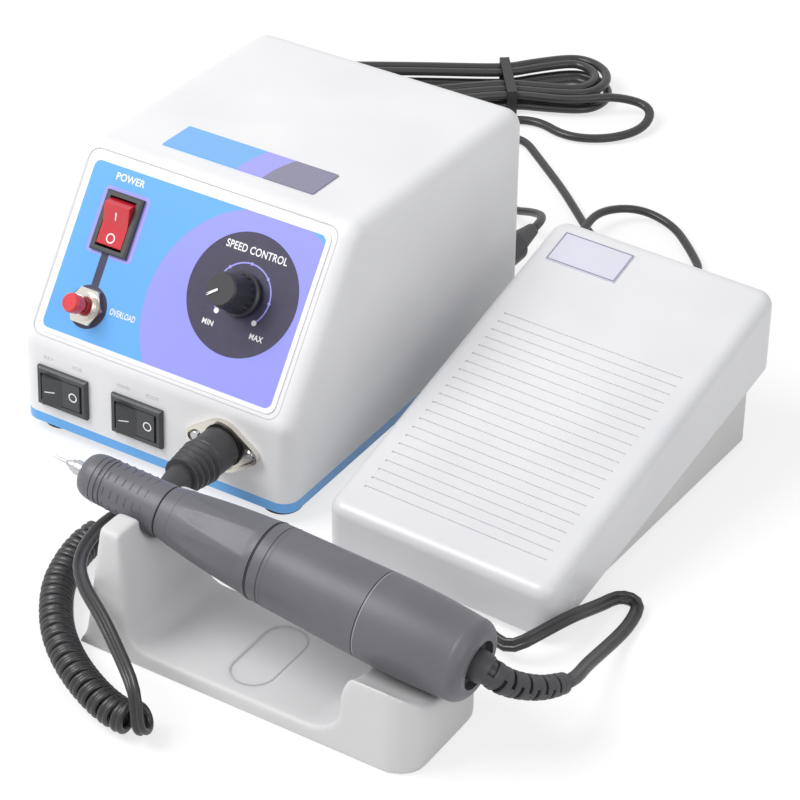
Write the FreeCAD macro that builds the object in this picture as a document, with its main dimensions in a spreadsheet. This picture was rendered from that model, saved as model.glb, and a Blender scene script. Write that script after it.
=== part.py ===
import FreeCAD, Part
import Sketcher
import math
import os
import re

# Dental lab micromotor: a control unit, a motor handpiece in its cradle, a foot pedal and
# their cords, all standing on one table top.
# Millimetres and degrees. X runs along the unit's front, Y to the rear, Z up from the table.

DRIVING_SIZES = {
    # control unit
    "unit_width": 111.2,
    "unit_depth": 149.5,
    "foot_height": 4.7,
    "foot_radius": 7.0,
    "foot_inset": 12.5,
    "foot_seat": 1.0,
    "tray_height": 3.8,
    "tray_step": 1.0,
    "front_height": 29.2,
    "front_lean": 1.3,
    "slope_depth": 40.9,
    "top_front": 85.8,
    "top_rear": 82.3,
    "case_wall": 2.5,
    "case_round": 6.0,
    "crease_round": 8.0,
    "boss_radius": 3.6,
    "boss_inset": 5.2,
    "boss_front": 34.0,
    "boss_height": 16.0,
    "screw_radius": 1.5,
    "screw_length": 12.0,
    "screw_head": 3.0,
    "fit_gap": 0.05,
    "free_gap": 0.3,
    # panel label and top label
    "label_left": 7.6,
    "label_low": 4.8,
    "label_width": 93.7,
    "label_length": 59.5,
    "label_thick": 0.5,
    "label_round": 2.5,
    "badge_left": 22.0,
    "badge_front": 56.2,
    "badge_width": 62.3,
    "badge_length": 14.8,
    # rocker switches
    "bezel_long": 21.0,
    "bezel_short": 15.0,
    "bezel_thick": 1.8,
    "switch_long": 19.2,
    "switch_short": 12.9,
    "switch_depth": 17.0,
    "well_long": 17.5,
    "well_short": 10.8,
    "well_depth": 8.8,
    "rocker_half": 7.0,
    "rocker_short": 10.2,
    "rocker_root": 3.0,
    "rocker_lean": 11.0,
    "pivot_depth": 3.2,
    "pivot_radius": 1.1,
    "pivot_span": 12.2,
    "power_across": 24.1,
    "power_up": 45.5,
    "direction_across": 18.4,
    "mode_across": 49.75,
    "lower_up": 12.0,
    # overload breaker
    "breaker_across": 23.0,
    "breaker_up": 16.0,
    "neck_radius": 4.6,
    "neck_rise": 5.0,
    "breaker_width": 12.0,
    "breaker_length": 22.0,
    "breaker_depth": 24.0,
    "nut_flats": 12.0,
    "nut_thick": 2.4,
    "button_radius": 3.4,
    "button_height": 4.6,
    "button_travel": 2.5,
    "stem_radius": 2.2,
    "stem_depth": 7.0,
    # speed control
    "knob_across": 78.1,
    "knob_up": 37.2,
    "knob_skirt": 7.6,
    "knob_foot": 6.9,
    "knob_crown": 5.8,
    "knob_height": 14.2,
    "knob_lift": 1.0,
    "knob_hollow": 6.2,
    "knob_turn": 217.6,
    "knob_flutes": 18,
    "pointer_width": 0.9,
    "pointer_rise": 0.25,
    "shaft_radius": 3.0,
    "bush_radius": 3.5,
    "bush_rise": 5.4,
    "pot_radius": 8.2,
    "pot_depth": 9.0,
    # handpiece socket and plug
    "socket_across": 85.0,
    "socket_up": 15.5,
    "flange_screw_reach": 11.0,
    "flange_end": 3.4,
    "flange_waist": 9.6,
    "flange_thick": 0.9,
    "flange_rim": 1.0,
    "flange_rise": 1.2,
    "flange_bore": 7.8,
    "flange_screw": 1.5,
    "insert_radius": 7.7,
    "insert_bore": 6.5,
    "insert_depth": 12.0,
    "plug_radius": 6.3,
    "plug_reach": 8.0,
    "boot_radius": 7.4,
    "boot_start": 2.4,
    "boot_straight": 24.0,
    "boot_length": 35.0,
    # things inside and at the back of the unit
    "core_long": 57.0,
    "core_deep": 24.0,
    "core_high": 48.0,
    "winding_long": 37.0,
    "winding_bulge": 11.0,
    "bracket_thick": 1.5,
    "transformer_left": 34.0,
    "transformer_back": 45.5,
    "board_long": 84.0,
    "board_deep": 34.0,
    "board_thick": 1.6,
    "board_post": 6.0,
    "board_left": 13.0,
    "board_front": 52.0,
    "capacitor_radius": 9.0,
    "capacitor_height": 28.0,
    "fuse_across": 26.0,
    "fuse_up": 22.0,
    "fuse_radius": 6.0,
    "gland_across": 62.0,
    "gland_up": 18.0,
    "gland_radius": 4.6,
    "gland_reach": 27.0,
    "jack_inset": 13.2,
    "jack_up": 12.0,
    "jack_radius": 5.2,
    "pedal_plug_radius": 6.0,
    "pedal_plug_length": 15.0,
    # handpiece, measured along its axis from the nose
    "hand_tilt": 5.55,
    "nose_x": 73.0,
    "nose_y": -63.0,
    "nose_z": 48.8,
    "cap_start": 3.0,
    "sleeve_start": 10.0,
    "grip_start": 37.0,
    "housing_start": 73.8,
    "rear_start": 113.3,
    "tail_end": 149.1,
    "recess_depth": 2.6,
    "sleeve_radius": 7.7,
    "grip_radius": 8.55,
    "housing_radius": 12.85,
    "rear_radius": 14.15,
    "tail_radius": 12.65,
    "joint_gap": 0.25,
    "core_start": 30.0,
    "core_radius": 7.0,
    "core_bore": 5.6,
    "bearing_radius": 5.5,
    "bearing_width": 4.0,
    "motor_bore": 11.0,
    "spigot_radius": 12.1,
    "spindle_radius": 2.4,
    "collet_radius": 1.9,
    "collet_length": 12.0,
    "bur_radius": 1.17,
    "bur_reach": 8.0,
    "bur_depth": 24.0,
    "rotor_radius": 6.4,
    "magnet_bore": 6.9,
    "flute_count": 8,
    "flute_radius": 5.0,
    "flute_reach": 23.0,
    "flute_depth": 0.8,
    # cradle
    "cradle_x": 88.5,
    "cradle_y": -85.0,
    "cradle_length": 123.6,
    "cradle_depth": 43.0,
    "cradle_floor": 6.0,
    "wall_top": 48.5,
    "wall_outer": 10.5,
    "wall_inner": 19.5,
    "wall_foot_rise": 4.0,
    "block_start": 104.0,
    "block_top": 36.0,
    "saddle_radius": 28.7,
    "saddle_low": 21.4,
    "notch_radius": 10.0,
    "notch_low": 36.8,
    "cradle_round": 10.0,
    "pillar_round": 2.5,
    "rest_mark_x": 58.5,
    "rest_mark_y": 21.0,
    "rest_mark_long": 32.0,
    "rest_mark_wide": 15.6,
    "rest_mark_deep": 0.8,
    # foot pedal
    "pedal_x": 128.5,
    "pedal_y": -5.1,
    "pedal_turn": -2.1,
    "pedal_width": 86.0,
    "pedal_length": 142.0,
    "heel_height": 21.0,
    "toe_height": 61.5,
    "skirt_heel": 3.6,
    "skirt_toe": 32.5,
    "treadle_wall": 2.5,
    "treadle_round": 6.0,
    "treadle_edge": 4.5,
    "base_inset": 5.0,
    "base_wall": 2.2,
    "base_lift": 1.5,
    "base_heel": 15.5,
    "base_flat": 24.0,
    "base_toe": 35.0,
    "hinge_along": 14.0,
    "hinge_up": 10.7,
    "hinge_radius": 2.0,
    "groove_left": 7.9,
    "groove_width": 69.4,
    "groove_first": 11.4,
    "groove_last": 93.6,
    "groove_count": 22,
    "groove_wide": 0.7,
    "groove_deep": 0.5,
    "plate_left": 7.2,
    "plate_back": 21.6,
    "plate_width": 27.2,
    "plate_length": 13.6,
    "plate_thick": 0.5,
    "pad_radius": 6.0,
    "pad_inset": 12.0,
    "spring_radius": 6.0,
    "spring_wire": 0.8,
    "spring_turns": 6,
    "spring_along": 100.0,
    "spring_across": 60.0,
    "sensor_across": 22.0,
    "sensor_along": 70.0,
    "pedal_gland_across": 20.0,
    "pedal_gland_up": 8.5,
    "pedal_gland_radius": 4.0,
    "pedal_gland_reach": 9.0,
    # cords
    "lead_radius": 1.9,
    "coil_radius": 4.0,
    "coil_pitch": 5.0,
    "coil_end_pitch": 8.0,
    "loose_pitch": 16.0,
    "tight_turns": 21,
    "pedal_cord_radius": 1.9,
    "mains_cord_radius": 1.9,
    "hank_x": 19.0,
    "hank_y": 297.0,
    "hank_turn": 37.0,
    "hank_fan": 25.0,
    "hank_tail": 68.0,
    "hank_inner": 9.0,
    "hank_pitch": 4.8,
    "hank_low": 3.1,
    "hank_layer": 4.7,
    "tie_width": 4.0,
    "tie_thick": 0.9,
    "mains_plug_width": 35.0,
    "mains_plug_thick": 13.7,
    "mains_plug_length": 35.0,
    "mains_plug_relief": 20.0,
    "mains_pin_radius": 2.0,
    "mains_pin_length": 19.0,
    "mains_pin_span": 18.6,
    # where the set's middle lies, written by centre_the_set
    "origin_x": 0.0,
    "origin_y": 0.0,
}

doc = FreeCAD.newDocument("Micromotor")
sheet = doc.addObject("Spreadsheet::Sheet", "Sizes")
for line_number, (word, value) in enumerate(DRIVING_SIZES.items(), 1):
    sheet.set("A%d" % line_number, word)
    sheet.set("B%d" % line_number, str(value))
    sheet.setAlias("B%d" % line_number, word)
doc.recompute()

# Sizes worked out from the sheet, as text that every expression below can use
CASE_Z = "(foot_height + tray_height)"
SLOPE = "atan2(top_front - front_height; slope_depth)"
FRONT = "atan2(front_height; front_lean)"
ROOF = "atan2(top_front - top_rear; unit_depth - slope_depth - front_lean)"
PANELS = {
    "slope": {"tilt": SLOPE, "y": "front_lean", "z": CASE_Z + " + front_height"},
    "front": {"tilt": FRONT, "y": "0", "z": CASE_Z},
}
RAMP = "atan2(toe_height - heel_height; pedal_length)"
PEDAL_TURN = "rotationz(pedal_turn)"
HAND_TURN = "rotationy(hand_tilt)"
BEARING_STARTS = ("sleeve_start + 3", "sleeve_start + 14", "housing_start + 6.2", "rear_start + 3")
PLATE_STARTS = ("housing_start + 6.2", "rear_start + 3")

parts = []


def bound(text):
    """The expression with every size's alias pointed at the sheet."""
    return re.sub(r"\b([a-z]+(?:_[a-z0-9]+)+)\b", r"Sizes.\1", str(text))


def number(text):
    """The value that an expression has now."""
    value = sheet.evalExpression(bound(text))
    return float(getattr(value, "Value", value))


def bind(thing, **values):
    for name, text in values.items():
        thing.setExpression(name, bound(text))
    return thing


def seat(thing, label, x="0", y="0", z="0", turn="rotationz(0)"):
    """Names a finished sub-part and puts it in the set's frame."""
    thing.Label = label
    place = "placement(vector(%s - origin_x; %s - origin_y; %s); %s)" % (x, y, z, turn)
    thing.setExpression("Placement", bound(place))
    parts.append(thing)
    return thing


def seat_on_panel(thing, label, panel, across, up, out="0", turn=""):
    """Puts a sub-part on the sloping panel or the front, with its own Z pointing outwards."""
    tilt = PANELS[panel]["tilt"]
    y = "%s + (%s)*cos(%s) - (%s)*sin(%s)" % (PANELS[panel]["y"], up, tilt, out, tilt)
    z = "%s + (%s)*sin(%s) + (%s)*cos(%s)" % (PANELS[panel]["z"], up, tilt, out, tilt)
    return seat(thing, label, across, y, z, "rotationx(%s)%s" % (tilt, turn))


def seat_on_pedal(thing, label, across="0", along="0", up="0", turn=""):
    x = "pedal_x + (%s)*cos(pedal_turn) - (%s)*sin(pedal_turn)" % (across, along)
    y = "pedal_y + (%s)*sin(pedal_turn) + (%s)*cos(pedal_turn)" % (across, along)
    return seat(thing, label, x, y, up, PEDAL_TURN + turn)


def seat_in_hand(thing, label):
    return seat(thing, label, "nose_x", "nose_y", "nose_z", HAND_TURN)


# Part primitives, each with its sizes and place bound to the sheet


def place_tool(thing, x="0", y="0", z="0", turn="rotationz(0)"):
    place = "placement(vector(%s; %s; %s); %s)" % (x, y, z, turn)
    thing.setExpression("Placement", bound(place))
    return thing


def box(length, width, height, x="0", y="0", z="0"):
    made = doc.addObject("Part::Box", "Box")
    bind(made, Length=length, Width=width, Height=height)
    return place_tool(made, x, y, z)


def cylinder(radius, height, x="0", y="0", z="0", turn="rotationz(0)"):
    made = doc.addObject("Part::Cylinder", "Cylinder")
    bind(made, Radius=radius, Height=height)
    return place_tool(made, x, y, z, turn)


def cone(lower, upper, height, x="0", y="0", z="0", turn="rotationz(0)"):
    made = doc.addObject("Part::Cone", "Cone")
    bind(made, Radius1=lower, Radius2=upper, Height=height)
    return place_tool(made, x, y, z, turn)


def cut(base, *tools):
    for tool in tools:
        made = doc.addObject("Part::Cut", "Cut")
        made.Base = base
        made.Tool = tool
        base = made
    return base


def fuse(*pieces):
    made = doc.addObject("Part::MultiFuse", "Fuse")
    made.Shapes = list(pieces)
    return made


def group(*pieces):
    made = doc.addObject("Part::Compound", "Group")
    made.Links = list(pieces)
    return made


# Bodies drawn as sketches on their own origin planes


def body(name):
    return doc.addObject("PartDesign::Body", name)


def sketch(owner, plane, offset="vector(0; 0; 0)", turn="rotationz(0)"):
    made = owner.newObject("Sketcher::SketchObject", "Sketch")
    role = plane + "_Plane"
    made.AttachmentSupport = [(f, "") for f in owner.Origin.OriginFeatures if f.Role == role]
    made.MapMode = "FlatFace"
    made.setExpression("AttachmentOffset", bound("placement(%s; %s)" % (offset, turn)))
    return made


def pin_point(made, edge, end, x, y):
    """Holds one point of a sketch at bound distances from the sketch's origin."""
    for kind, text in (("DistanceX", x), ("DistanceY", y)):
        index = made.addConstraint(Sketcher.Constraint(kind, -1, 1, edge, end, number(text)))
        made.setExpression("Constraints[%d]" % index, bound(text))


def outline(made, corners):
    """A closed profile. A corner is (x, y), or (x, y, via_x, via_y) where an arc arrives."""
    spots = [FreeCAD.Vector(number(c[0]), number(c[1]), 0) for c in corners]
    first = made.GeometryCount
    count = len(corners)
    leaving = []
    for index, spot in enumerate(spots):
        arrival = corners[(index + 1) % count]
        target = spots[(index + 1) % count]
        leaving.append(1)
        if len(arrival) == 2:
            made.addGeometry(Part.LineSegment(spot, target), False)
            continue
        via = FreeCAD.Vector(number(arrival[2]), number(arrival[3]), 0)
        if (via - spot).cross(target - via).z > 0:
            made.addGeometry(Part.Arc(spot, via, target), False)
        else:
            made.addGeometry(Part.Arc(target, via, spot), False)
            leaving[index] = 2
    for index in range(count):
        after = (index + 1) % count
        ends = (first + index, 3 - leaving[index], first + after, leaving[after])
        made.addConstraint(Sketcher.Constraint("Coincident", *ends))
    for index, corner in enumerate(corners):
        pin_point(made, first + index, leaving[index], corner[0], corner[1])
    for index, corner in enumerate(corners):
        if len(corner) == 4:
            edge = first + (index - 1) % count
            via = Part.Point(FreeCAD.Vector(number(corner[2]), number(corner[3]), 0))
            point = made.addGeometry(via, True)
            pin_point(made, point, 1, corner[2], corner[3])
            made.addConstraint(Sketcher.Constraint("PointOnObject", point, 1, edge))
    return made


def circle(made, radius, x="0", y="0"):
    centre = FreeCAD.Vector(number(x), number(y), 0)
    normal = FreeCAD.Vector(0, 0, 1)
    edge = made.addGeometry(Part.Circle(centre, normal, number(radius)), False)
    index = made.addConstraint(Sketcher.Constraint("Radius", edge, number(radius)))
    made.setExpression("Constraints[%d]" % index, bound(radius))
    pin_point(made, edge, 3, x, y)
    return made


def rectangle(made, x, y, width, height):
    right = "%s + %s" % (x, width)
    top = "%s + %s" % (y, height)
    return outline(made, [(x, y), (right, y), (right, top), (x, top)])


def pad(owner, profile, length, reverse=False):
    made = owner.newObject("PartDesign::Pad", "Pad")
    made.Profile = profile
    made.Reversed = reverse
    return bind(made, Length=length)


def pocket(owner, profile, length, reverse=False):
    made = owner.newObject("PartDesign::Pocket", "Pocket")
    made.Profile = profile
    made.Reversed = reverse
    return bind(made, Length=length)


def revolve(owner, profile, axis):
    made = owner.newObject("PartDesign::Revolution", "Revolution")
    made.Profile = profile
    made.ReferenceAxis = (profile, [axis])
    made.Angle = 360
    return made


def turned(name, corners):
    """A round piece of the handpiece: its profile is (along, radius), its axis is X."""
    made = body(name)
    revolve(made, outline(sketch(made, "XZ"), corners), "H_Axis")
    return made


def spun(name, corners):
    """A round piece that stands on its panel: its profile is (radius, height), its axis is Z."""
    made = body(name)
    revolve(made, outline(sketch(made, "XZ"), corners), "V_Axis")
    return made


def round_edges(owner, feature, radius, wanted):
    """Rounds the edges of a body's last feature that the test picks."""
    doc.recompute()
    names = ["Edge%d" % (i + 1) for i, edge in enumerate(feature.Shape.Edges) if wanted(edge)]
    made = owner.newObject("PartDesign::Fillet", "Fillet")
    made.Base = (feature, names)
    return bind(made, Radius=radius)


def chamfer_edges(owner, feature, size, wanted):
    doc.recompute()
    names = ["Edge%d" % (i + 1) for i, edge in enumerate(feature.Shape.Edges) if wanted(edge)]
    made = owner.newObject("PartDesign::Chamfer", "Chamfer")
    made.Base = (feature, names)
    return bind(made, Size=size)


def span(edge):
    """How far an edge runs along X, Y and Z."""
    limits = edge.BoundBox
    return limits.XLength, limits.YLength, limits.ZLength


def upright(edge):
    across, along, up = span(edge)
    return across < 1e-4 and along < 1e-4 and up > 1e-4


def near(value, text):
    return abs(value - number(text)) < 1e-3


# Control unit: the moulded case with its sloping panel


def case_shell():
    made = body("CaseShell")
    side = outline(
        sketch(made, "YZ"),
        [
            ("0", "0"),
            ("front_lean", "front_height"),
            ("front_lean + slope_depth", "top_front"),
            ("unit_depth", "top_rear"),
            ("unit_depth", "0"),
        ],
    )
    block = pad(made, side, "unit_width")

    def crease(edge):
        across, along, up = span(edge)
        return across > 1 and along < 1e-4 and up < 1e-4 and edge.BoundBox.ZMin > 1

    creased = round_edges(made, block, "crease_round", crease)

    def rim(edge):
        limits = edge.BoundBox
        return limits.XLength < 1e-4 and limits.ZMax > 1

    round_edges(made, creased, "case_round", rim)
    slope_foot = "(front_height - case_wall*cos(%s) + case_wall*(1 - sin(%s))*tan(%s))"
    slope_foot = slope_foot % (SLOPE, SLOPE, SLOPE)
    rise = "(top_rear - case_wall - front_height + case_wall*cos(%s))" % SLOPE
    inner_top = "(front_lean + case_wall*sin(%s) + %s/tan(%s))" % (SLOPE, rise, SLOPE)
    hollow = outline(
        sketch(made, "YZ", "vector(0; 0; case_wall)"),
        [
            ("front_lean + case_wall", "-1"),
            ("front_lean + case_wall", slope_foot),
            (inner_top, "top_rear - case_wall"),
            ("unit_depth - case_wall", "top_rear - case_wall"),
            ("unit_depth - case_wall", "-1"),
        ],
    )
    pocket(made, hollow, "unit_width - 2*case_wall", True)
    bosses = sketch(made, "XY", "vector(0; 0; tray_step)")
    for x in ("boss_inset", "unit_width - boss_inset"):
        for y in ("boss_front", "unit_depth - boss_front"):
            circle(bosses, "boss_radius", x, y)
    pad(made, bosses, "boss_height")
    pilots = sketch(made, "XY", "vector(0; 0; tray_step)")
    for x in ("boss_inset", "unit_width - boss_inset"):
        for y in ("boss_front", "unit_depth - boss_front"):
            circle(pilots, "screw_radius + fit_gap", x, y)
    pocket(made, pilots, "screw_length", True)

    slope_at = "vector(0; front_lean; front_height)"
    ports = sketch(made, "XY", slope_at, "rotationx(%s)" % SLOPE)
    long_half = "(switch_long/2 + free_gap/2)"
    short_half = "(switch_short/2 + free_gap/2)"
    rectangle(
        ports,
        "power_across - %s" % short_half,
        "power_up - %s" % long_half,
        "2*%s" % short_half,
        "2*%s" % long_half,
    )
    circle(ports, "neck_radius + fit_gap", "breaker_across", "breaker_up")
    circle(ports, "bush_radius + fit_gap", "knob_across", "knob_up")
    pocket(made, ports, "2*case_wall")

    front = sketch(made, "XY", "vector(0; 0; 0)", "rotationx(%s)" % FRONT)
    for across in ("direction_across", "mode_across"):
        rectangle(
            front,
            "%s - %s" % (across, long_half),
            "lower_up - %s" % short_half,
            "2*%s" % long_half,
            "2*%s" % short_half,
        )
    circle(front, "insert_radius + fit_gap", "socket_across", "socket_up")
    for side_sign in ("-", "+"):
        circle(front, "flange_screw", "socket_across %s flange_screw_reach" % side_sign, "socket_up")
    pocket(made, front, "2*case_wall")

    rear = sketch(made, "XZ", "vector(0; 0; -unit_depth)")
    circle(rear, "fuse_radius + fit_gap", "fuse_across", "fuse_up")
    circle(rear, "gland_radius + fit_gap", "gland_across", "gland_up")
    circle(rear, "jack_radius + fit_gap", "unit_width - jack_inset", "jack_up")
    pocket(made, rear, "2*case_wall", True)
    return seat(made, "case_shell", z=CASE_Z)


def base_tray():
    made = body("BaseTray")
    rim = rectangle(sketch(made, "XY"), "0", "0", "unit_width", "unit_depth")
    round_edges(made, pad(made, rim, "tray_height"), "case_round", upright)
    inset = "case_wall + free_gap"
    step = rectangle(
        sketch(made, "XY", "vector(0; 0; tray_height)"),
        inset,
        "front_lean + " + inset,
        "unit_width - 2*(%s)" % inset,
        "unit_depth - front_lean - 2*(%s)" % inset,
    )
    pad(made, step, "tray_step - free_gap")
    seats = sketch(made, "XY")
    for x in ("foot_inset", "unit_width - foot_inset"):
        for y in ("foot_inset", "unit_depth - foot_inset"):
            circle(seats, "foot_radius + fit_gap", x, y)
    pocket(made, seats, "foot_seat", True)
    holes = sketch(made, "XY")
    for x in ("boss_inset", "unit_width - boss_inset"):
        for y in ("boss_front", "unit_depth - boss_front"):
            circle(holes, "screw_head + fit_gap", x, y)
    pocket(made, holes, "screw_radius + fit_gap", True)
    shanks = sketch(made, "XY")
    for x in ("boss_inset", "unit_width - boss_inset"):
        for y in ("boss_front", "unit_depth - boss_front"):
            circle(shanks, "screw_radius + fit_gap", x, y)
    pocket(made, shanks, "tray_height + tray_step", True)
    return seat(made, "base_tray", z="foot_height")


def unit_feet():
    feet = []
    for x in ("foot_inset", "unit_width - foot_inset"):
        for y in ("foot_inset", "unit_depth - foot_inset"):
            feet.append(cone("0.86*foot_radius", "foot_radius", "foot_height", x, y))
            feet.append(cylinder("foot_radius", "foot_seat", x, y, "foot_height"))
    pairs = [fuse(feet[i], feet[i + 1]) for i in range(0, len(feet), 2)]
    return seat(group(*pairs), "unit_feet")


def base_screws():
    screws = []
    for x in ("boss_inset", "unit_width - boss_inset"):
        for y in ("boss_front", "unit_depth - boss_front"):
            head = cylinder("screw_head", "screw_radius", x, y)
            shank = cylinder("screw_radius", "tray_height + screw_length", x, y)
            screws.append(fuse(head, shank))
    return seat(group(*screws), "base_screws", z="foot_height")


# Labels: a framed sheet on the panel and a strip on the roof, both bare of names


def panel_label():
    made = body("PanelLabel")
    face = rectangle(sketch(made, "XY"), "0", "0", "label_width", "label_length")
    round_edges(made, pad(made, face, "label_thick"), "label_round", upright)
    ports = sketch(made, "XY", "vector(0; 0; label_thick)")
    rectangle(
        ports,
        "power_across - label_left - switch_short/2 - free_gap",
        "power_up - label_low - switch_long/2 - free_gap",
        "switch_short + 2*free_gap",
        "switch_long + 2*free_gap",
    )
    circle(ports, "neck_radius + free_gap", "breaker_across - label_left", "breaker_up - label_low")
    circle(ports, "bush_radius + free_gap", "knob_across - label_left", "knob_up - label_low")
    pocket(made, ports, "2*label_thick")
    return seat_on_panel(made, "panel_label", "slope", "label_left", "label_low")


def top_label():
    made = box("badge_width", "badge_length", "label_thick")
    slope_end = "(front_lean + slope_depth)"
    z = CASE_Z + " + top_front - (badge_front - %s)*tan(%s)" % (slope_end, ROOF)
    return seat(made, "top_label", "badge_left", "badge_front", z, "rotationx(-1*%s)" % ROOF)


# Rocker switches: a housing with a well, and a rocker on two stub pins


def switch_housing(label, panel, across, up, out, upright_switch):
    made = body("SwitchHousing")
    long_short = ("long", "short")
    if upright_switch:
        long_short = ("short", "long")

    def centred(plane_offset, kind):
        wide = "%s_%s" % (kind, long_short[0])
        high = "%s_%s" % (kind, long_short[1])
        drawn = sketch(made, "XY", "vector(0; 0; %s)" % plane_offset)
        return rectangle(drawn, "-%s/2" % wide, "-%s/2" % high, wide, high)

    bezel = pad(made, centred("0", "bezel"), "bezel_thick")

    def front_rim(edge):
        return near(edge.BoundBox.ZMin, "bezel_thick")

    chamfer_edges(made, bezel, "bezel_thick/3", front_rim)
    pad(made, centred("0", "switch"), "switch_depth", True)
    pocket(made, centred("bezel_thick", "well"), "well_depth")
    plane = "YZ" if upright_switch else "XZ"
    pivots = sketch(made, plane, "vector(0; 0; -switch_short)")
    circle(pivots, "pivot_radius + fit_gap", "0", "bezel_thick - pivot_depth")
    pocket(made, pivots, "2*switch_short", True)
    return seat_on_panel(made, label, panel, across, up, out)


def rocker(label, panel, across, up, out, upright_switch):
    made = body("Rocker")
    middle = "(pivot_depth/cos(rocker_lean))"
    tip = "(%s + rocker_half*tan(rocker_lean))" % middle
    reach = "sqrt(rocker_half^2 + %s^2)" % tip
    root = "sqrt(rocker_half^2 + %s^2 - rocker_root^2)" % tip
    plane = "YZ" if upright_switch else "XZ"
    profile = outline(
        sketch(made, plane, "vector(0; 0; -rocker_short/2)"),
        [
            ("-" + root, "-rocker_root", "-" + reach, "0"),
            (root, "-rocker_root"),
            ("rocker_half", tip, reach, "0"),
            ("0", middle),
            ("-rocker_half", tip),
        ],
    )
    pad(made, profile, "rocker_short")
    pins = circle(sketch(made, plane, "vector(0; 0; -pivot_span/2)"), "pivot_radius")
    pad(made, pins, "pivot_span")
    turn = " * rotationx(rocker_lean)" if upright_switch else " * rotationy(rocker_lean)"
    pivot_out = "%s + bezel_thick - pivot_depth" % out
    return seat_on_panel(made, label, panel, across, up, pivot_out, turn)


def switches():
    spots = (
        ("power", "slope", "power_across", "power_up", "label_thick", True),
        ("direction", "front", "direction_across", "lower_up", "0", False),
        ("mode", "front", "mode_across", "lower_up", "0", False),
    )
    for name, panel, across, up, out, upright_switch in spots:
        switch_housing(name + "_switch", panel, across, up, out, upright_switch)
        rocker(name + "_rocker", panel, across, up, out, upright_switch)


# Overload breaker: a threaded neck through the panel, its nut and the red reset button


def breaker():
    neck = cylinder("neck_radius", "case_wall + neck_rise", z="-case_wall")
    case = box(
        "breaker_width",
        "breaker_length",
        "breaker_depth",
        "-breaker_width/2",
        "-breaker_length/2",
        "-case_wall - breaker_depth",
    )
    bore_depth = "(stem_depth + button_travel + 1)"
    bore = cylinder("stem_radius + fit_gap", "%s + neck_rise" % bore_depth, z="-%s" % bore_depth)
    made = cut(fuse(neck, case), bore)
    seat_on_panel(made, "breaker", "slope", "breaker_across", "breaker_up")

    nut = body("BreakerNut")
    reach = "(nut_flats/sqrt(3))"
    corners = []
    for index in range(6):
        corners.append(("%s*cos(%d)" % (reach, 60 * index), "%s*sin(%d)" % (reach, 60 * index)))
    profile = outline(sketch(nut, "XY"), corners)
    circle(profile, "neck_radius + fit_gap")
    pad(nut, profile, "nut_thick")
    seat_on_panel(nut, "breaker_nut", "slope", "breaker_across", "breaker_up", "label_thick")

    rise = "(neck_rise + button_travel + free_gap)"
    button = spun(
        "ResetButton",
        [
            ("0", "-stem_depth"),
            ("stem_radius", "-stem_depth"),
            ("stem_radius", rise),
            ("button_radius", rise),
            ("button_radius", rise + " + 0.8*button_height"),
            ("0.8*button_radius", rise + " + button_height"),
            ("0", rise + " + button_height"),
        ],
    )
    seat_on_panel(button, "reset_button", "slope", "breaker_across", "breaker_up")


# Speed control: potentiometer, shaft and fluted knob with its pointer


def speed_control():
    can = cylinder("pot_radius", "pot_depth", z="-case_wall - pot_depth")
    bush = cylinder("bush_radius", "case_wall + bush_rise", z="-case_wall")
    bore = cylinder("shaft_radius + fit_gap", "pot_depth + bush_rise", z="-case_wall - pot_depth/2")
    pot = cut(fuse(can, bush), bore)
    seat_on_panel(pot, "potentiometer", "slope", "knob_across", "knob_up")

    shaft_top = "(label_thick + knob_lift + knob_height - 2)"
    shaft_length = "%s + case_wall + pot_depth/2 - 1" % shaft_top
    shaft = cylinder("shaft_radius", shaft_length, z="1 - case_wall - pot_depth/2")
    seat_on_panel(group(shaft), "pot_shaft", "slope", "knob_across", "knob_up")

    knob = spun(
        "SpeedKnob",
        [
            ("0", "knob_height - 2"),
            ("shaft_radius + fit_gap", "knob_height - 2"),
            ("shaft_radius + fit_gap", "knob_hollow"),
            ("0.85*knob_foot", "knob_hollow"),
            ("0.85*knob_foot", "0"),
            ("knob_skirt", "0"),
            ("knob_skirt", "1.4"),
            ("knob_foot", "2"),
            ("knob_crown", "knob_height - 0.6"),
            ("knob_crown - 0.5", "knob_height"),
            ("0", "knob_height"),
        ],
    )
    flute = sketch(knob, "XY", "vector(0; 0; 3)")
    circle(flute, "0.8", "knob_foot + 0.25")
    first = pocket(knob, flute, "knob_height - 4.5", True)
    doc.recompute()
    ring = knob.newObject("PartDesign::PolarPattern", "Flutes")
    ring.Originals = [first]
    ring.Axis = (flute, ["N_Axis"])
    ring.Angle = 360
    bind(ring, Occurrences="knob_flutes")
    knob.Tip = ring
    mark = sketch(knob, "XY", "vector(0; 0; knob_height)")
    rectangle(mark, "0.5", "-pointer_width/2", "knob_crown - 1.2", "pointer_width")
    pad(knob, mark, "pointer_rise")
    seat_on_panel(
        knob,
        "speed_knob",
        "slope",
        "knob_across",
        "knob_up",
        "label_thick + knob_lift",
        " * rotationz(knob_turn)",
    )


# Handpiece socket: a nickel plate with a raised edge, its screws and the insert behind it


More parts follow.
